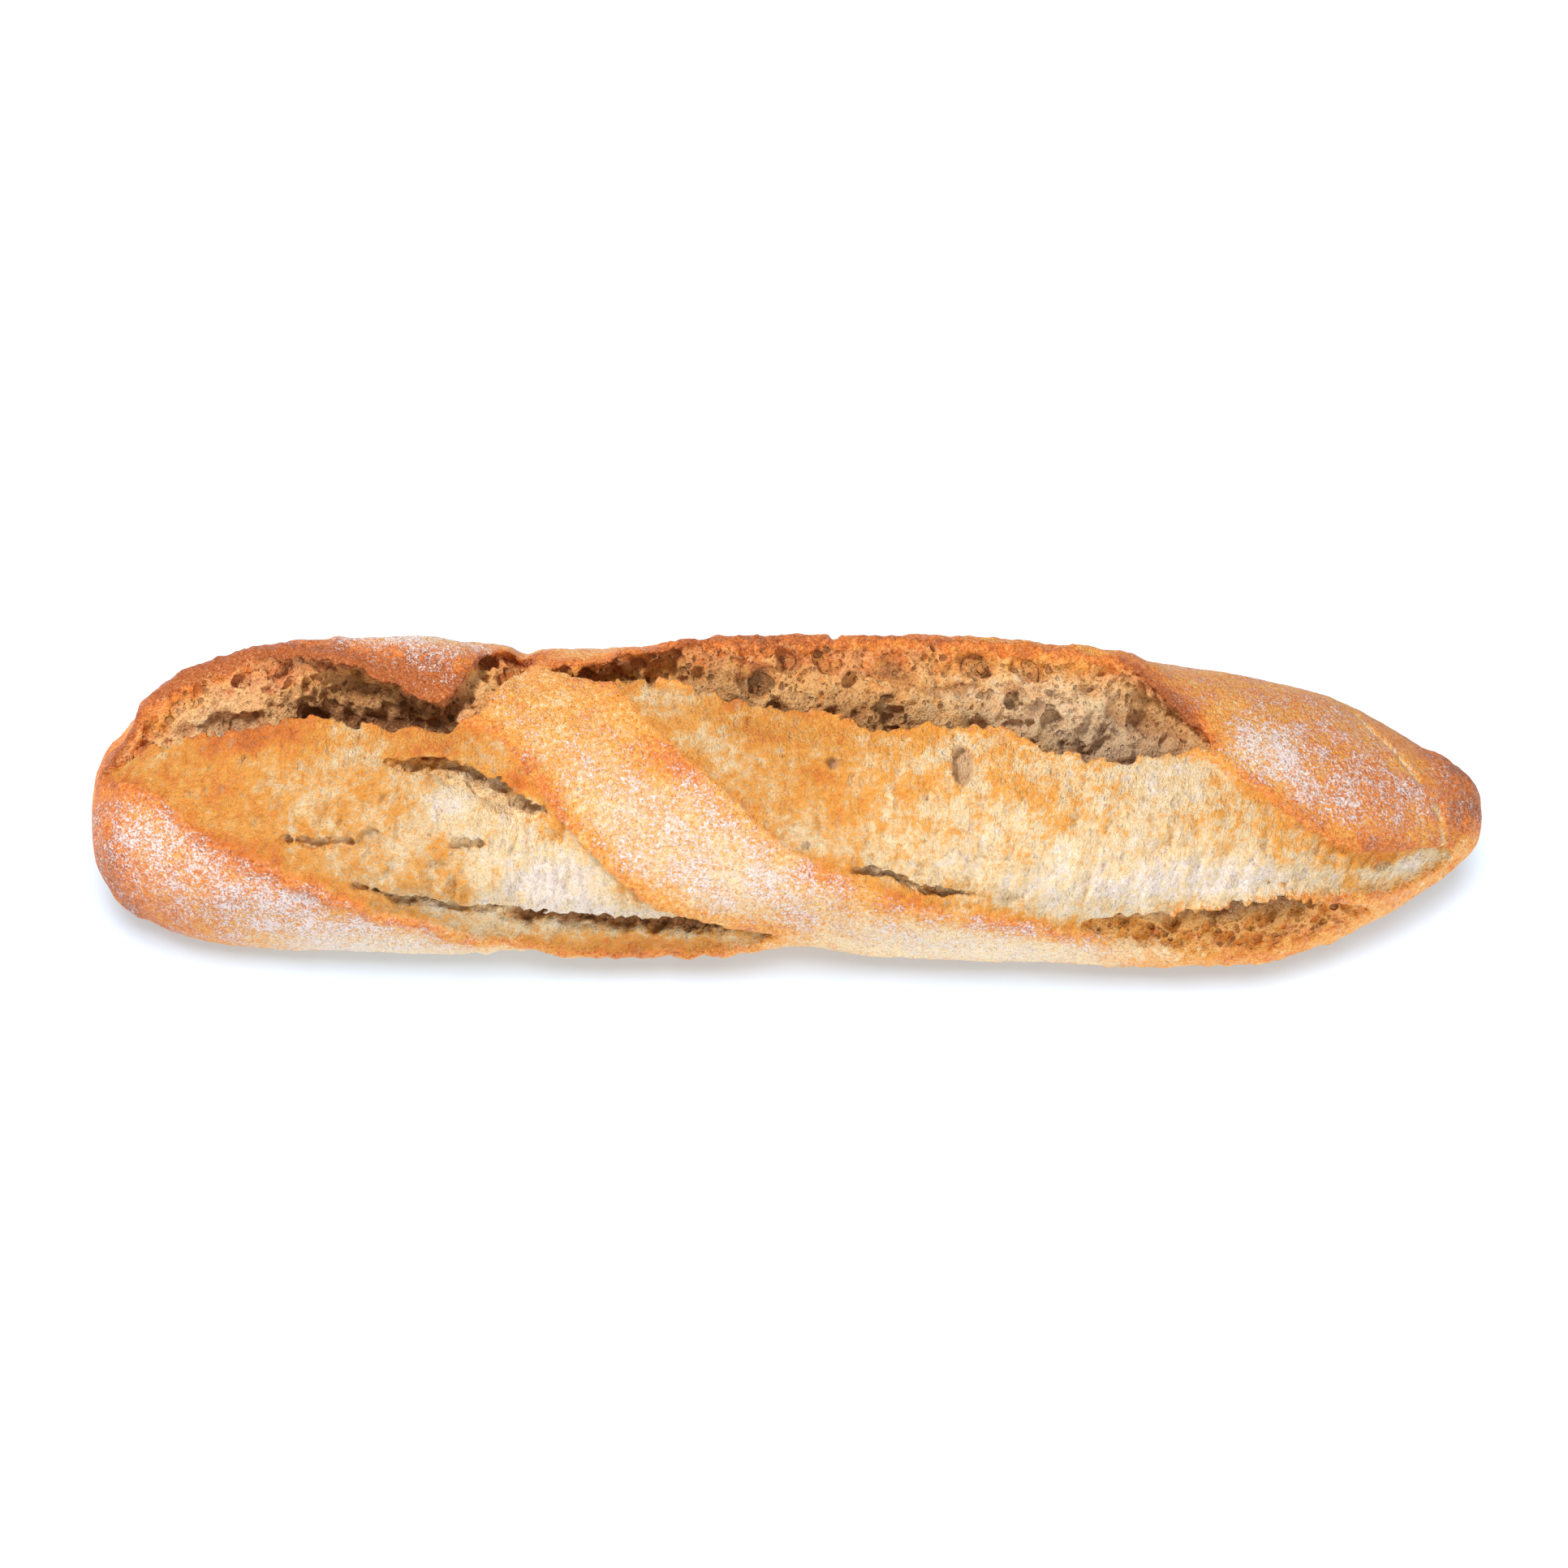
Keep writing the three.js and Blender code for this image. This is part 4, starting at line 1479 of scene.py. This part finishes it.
def wall_look(n, mm, at, pores, toast_tree, colours):
    """The hollows' colour: toasted under the rim, darkened further down by painted shade, and painted darker
    in its bubbles, its pores and the deep shade.
    """
    toast = n.math("MULTIPLY", n.ramp(at["deep"], 1.2, 8.0, WALL_TOP_TOAST, WALL_DEEP_TOAST), at["baked"])
    toast = n.math("ADD", toast, 0.06)
    toast = n.math("ADD", toast, n.spread(n.noise(mm, size=3, detail=4, rough=0.7), 1.2))
    toast = n.math("MULTIPLY_ADD", at["toast"], 0.5, toast)
    colour = n.use(toast_tree, Toast=toast)["Color"]
    # Painted shade: further down the hollows the crumb is darkened towards the hollow colour.
    shade_darkened = n.math("MULTIPLY", n.ramp(at["deep"], 4.0, 12.0), n.math("MULTIPLY_ADD", at["baked"], 0.35, 0.3))
    colour = n.mix(shade_darkened, colour, colours.hollow)
    pale = n.math("MULTIPLY", at["pale"], n.ramp(at["deep"], 1.5, 5.0, 0.0, 0.45))
    colour = n.mix(pale, colour, PALE_CRUMB)
    crest = n.math("MULTIPLY", n.ramp(at["pit"], 0.18, 0.02), n.ramp(pores["Hole"], 0.3, 0.0))
    colour = n.mix(n.math("MULTIPLY", crest, 0.25), colour, colours.crest)
    # Painted shade: the bubbles, the pores and the places in deep shade take the dark bubble colour.
    dark = n.math("MAXIMUM", n.ramp(at["pit"], 0.2, 0.85, 0.0, 0.85), pores["Hole"])
    dark = n.math("MULTIPLY", dark, n.math("MULTIPLY_ADD", at["baked"], 0.5, 0.28))
    dark = n.math("MAXIMUM", dark, n.math("MULTIPLY", at["shaded"], 0.85))
    return n.mix(dark, colour, colours.pit)


def loaf_material(colours):
    """The baked loaf's one material, from the values that its vertices hold."""
    material = bpy.data.materials.new("Baked Loaf")
    material.use_nodes = True
    material.node_tree.nodes.clear()
    n = Nodes(material.node_tree)
    where = n.add("ShaderNodeTexCoord").outputs["Object"]
    mm = n.scale(where, (1 / MM,) * 3)
    fibres = n.add("ShaderNodeAttribute", {"attribute_name": "fibres"}).outputs["Vector"]
    at = {name: n.value(name) for name in VERTEX_VALUES}
    toast_tree = toast_group(colours)
    drawn = n.use(fibre_group(), Vector=mm, Fibres=fibres, Drawn=at["drawn"])
    pores = n.use(pore_group(), Vector=mm)
    crust_colour, crust_height, flour = crust_look(n, mm, at, toast_tree, colours)
    face_colour = face_look(n, mm, fibres, at, drawn, toast_tree, colours)
    wall_colour = wall_look(n, mm, at, pores, toast_tree, colours)

    # Crust, opened face or wall of a hollow, with ragged borders between them.
    wobble = n.spread(n.noise(mm, size=1.4, detail=3, rough=0.6), 3.2)
    face = n.ramp(n.math("ADD", at["torn"], wobble), -0.5, 0.7)
    wall = n.ramp(n.math("ADD", at["deep"], n.math("MULTIPLY", wobble, 0.5)), 0.9, 2.2)
    outside = n.math("SUBTRACT", 1.0, wall)
    colour = n.mix(wall, n.mix(face, crust_colour, face_colour), wall_colour)
    skin_height = n.math("MULTIPLY", n.blend(face, crust_height, drawn["Height"]), outside)
    height = n.math("ADD", skin_height, n.math("MULTIPLY", pores["Height"], wall))
    bump = n.add("ShaderNodeBump", Height=height, Distance=MM, Strength=1.0).outputs[0]
    bare_crust = n.math("SUBTRACT", outside, flour, clamp=True)
    gloss = n.math("MULTIPLY", n.math("SUBTRACT", 1.0, face), bare_crust)
    roughness = n.ramp(gloss, 0.0, 1.0, DRY_ROUGHNESS, CRUST_ROUGHNESS)

    # Fine grit all over, which follows the fibres where the dough was drawn out: painted shade in its dents
    # and painted highlight on its tips.
    pulled = n.math("MULTIPLY", face, n.math("MULTIPLY", at["drawn"], outside))
    plain_grit = n.noise(mm, size=0.7, detail=4, rough=0.8)
    grit = n.blend(n.math("MULTIPLY", pulled, 0.8), plain_grit, drawn["Streak"])
    shade = n.mix(1.0, colour, PAINTED_GRIT_SHADE, "MULTIPLY")
    colour = n.mix(n.ramp(grit, 0.34, 0.50, 0.8, 0.0), colour, shade)
    colour = n.mix(n.ramp(grit, 0.51, 0.66, 0.0, 0.24), colour, PAINTED_GRIT_HIGHLIGHT)
    shader = n.add("ShaderNodeBsdfPrincipled", Base_Color=colour, Roughness=roughness, Normal=bump)
    shader.inputs["Specular IOR Level"].default_value = CRUST_SPECULAR
    n.add("ShaderNodeOutputMaterial", Surface=shader)
    return material


# ---- Operators ----


class BAGUETTE_OT_loaf(bpy.types.Operator):
    """Bake the loaf: its crust, the openings along the slashes, and their crumb"""

    bl_idname = "baguette.loaf"
    bl_label = "Bake Loaf"

    def execute(self, context):
        shape = context.scene.baguette_shape
        step = FULL_STEP
        body = link(body_mesh(RINGS, SEGMENTS), "Loaf")
        cutters = []
        for index, (name, rows, ragged) in enumerate(OPENINGS):
            seed = FIRST_OPENING_SEED + SEEDS_PER_OPENING * index
            mesh = opening_mesh(name, rows, ragged * shape.raggedness / MM, seed, step)
            cutters.append(link(mesh, name))
        cutters += [link(bubble_mesh(*row), "Bubble") for row in BUBBLES]
        for cutter in cutters:
            cut = body.modifiers.new("Opening", "BOOLEAN")
            cut.operation = "DIFFERENCE"
            cut.solver = "MANIFOLD"
            cut.object = cutter
        skin_over = body.modifiers.new("Skin", "REMESH")
        skin_over.mode = "VOXEL"
        skin_over.voxel_size = shape.crumb_step * 1
        mesh = solid_mesh(body)
        body.modifiers.clear()
        for cutter in cutters:
            bpy.data.objects.remove(cutter)
        if len(mesh.polygons) < FEWEST_FACES:
            raise RuntimeError("the loaf came out empty")
        keep_largest(mesh)
        values, vectors = bake_surface(mesh, shape)
        old_points = coordinates(mesh)
        body.data = mesh
        thin = body.modifiers.new("Thin", "DECIMATE")
        thin.ratio = min(1, shape.most_triangles / (2 * len(mesh.polygons)))
        thin.use_collapse_triangulate = True
        baked = solid_mesh(body)
        body.modifiers.clear()
        body.data = baked
        baked.name = "Loaf"
        store(baked, values, vectors, old_points)
        baked.polygons.foreach_set("use_smooth", np.ones(len(baked.polygons), dtype=bool))
        baked.materials.clear()
        baked.materials.append(loaf_material(context.scene.baguette_colours))
        print("loaf:", len(baked.polygons), "triangles")
        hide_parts("loaf")
        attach(body, "root")
        return {"FINISHED"}


class BAGUETTE_OT_stage(bpy.types.Operator):
    """Set a plain white floor, soft lights and a camera above the front of the loaf"""

    bl_idname = "baguette.stage"
    bl_label = "Set Stage"

    def execute(self, context):
        scene = context.scene
        bm = bmesh.new()
        bmesh.ops.create_grid(bm, x_segments=1, y_segments=1, size=3)
        floor = link(mesh_from(bm, "Floor"), "Floor")
        white = bpy.data.materials.new("White Floor")
        white.use_nodes = True
        shader = white.node_tree.nodes["Principled BSDF"]
        shader.inputs["Base Color"].default_value = FLOOR_COLOUR
        shader.inputs["Roughness"].default_value = 1
        shader.inputs["Specular IOR Level"].default_value = 0
        shader.inputs["Emission Color"].default_value = (1, 1, 1, 1)
        shader.inputs["Emission Strength"].default_value = FLOOR_GLOW
        floor.data.materials.append(white)

        world = bpy.data.worlds.new("Studio")
        world.use_nodes = True
        background = world.node_tree.nodes["Background"]
        background.inputs["Color"].default_value = (1, 1, 1, 1)
        background.inputs["Strength"].default_value = STUDIO_LIGHT
        scene.world = world

        middle = Vector((0, 0, MIDDLE_HEIGHT * MM))
        for name, spot, size, energy, lit in LAMPS:
            light = bpy.data.lights.new(name, "AREA")
            light.size = size
            light.energy = energy
            lamp = bpy.data.objects.new(name, light)
            lamp.location = spot
            lamp.rotation_euler = (middle - Vector(spot)).to_track_quat("-Z", "Y").to_euler()
            receivers = bpy.data.collections.new(name + " Light Receivers")
            receivers.objects.link(scene.objects[lit])
            lamp.light_linking.receiver_collection = receivers
            scene.collection.objects.link(lamp)

        elevation = math.radians(CAMERA_ELEVATION)
        toward = Vector((0, -math.cos(elevation), math.sin(elevation)))
        up = Vector((0, math.sin(elevation), math.cos(elevation)))
        right = Vector((1, 0, 0))
        axis = Vector((0, -MIDDLE_Y, MIDDLE_HEIGHT))
        target = (axis + up * PICTURE_UP + right * PICTURE_RIGHT) * MM
        camera = bpy.data.cameras.new("Camera")
        camera.sensor_width = SENSOR_WIDTH
        camera.lens = SENSOR_WIDTH * CAMERA_DISTANCE / (PICTURE_WIDTH * MM)
        eye = bpy.data.objects.new("Camera", camera)
        eye.location = target + toward * CAMERA_DISTANCE
        eye.rotation_euler = (-toward).to_track_quat("-Z", "Y").to_euler()
        scene.collection.objects.link(eye)
        scene.camera = eye
        scene.view_settings.view_transform = "Standard"
        return {"FINISHED"}


class BAGUETTE_PT_panel(bpy.types.Panel):
    """The baguette's sizes, colours and steps"""

    bl_label = "Baguette"
    bl_idname = "BAGUETTE_PT_panel"
    bl_space_type = "VIEW_3D"
    bl_region_type = "UI"
    bl_category = "Baguette"

    def draw(self, context):
        layout = self.layout
        for group in (context.scene.baguette_shape, context.scene.baguette_colours):
            box = layout.box()
            for name in group.__annotations__:
                box.prop(group, name)
        layout.operator("baguette.loaf")
        layout.operator("baguette.stage")


CLASSES = (BaguetteShape, BaguetteColours, BAGUETTE_OT_loaf, BAGUETTE_OT_stage, BAGUETTE_PT_panel)


def register():
    for cls in CLASSES:
        bpy.utils.register_class(cls)
    bpy.types.Scene.baguette_shape = PointerProperty(type=BaguetteShape)
    bpy.types.Scene.baguette_colours = PointerProperty(type=BaguetteColours)


def unregister():
    del bpy.types.Scene.baguette_colours
    del bpy.types.Scene.baguette_shape
    for cls in reversed(CLASSES):
        bpy.utils.unregister_class(cls)


def main():
    register()
    bpy.ops.baguette.loaf()
    bpy.ops.baguette.stage()


if __name__ == "__main__":
    main()
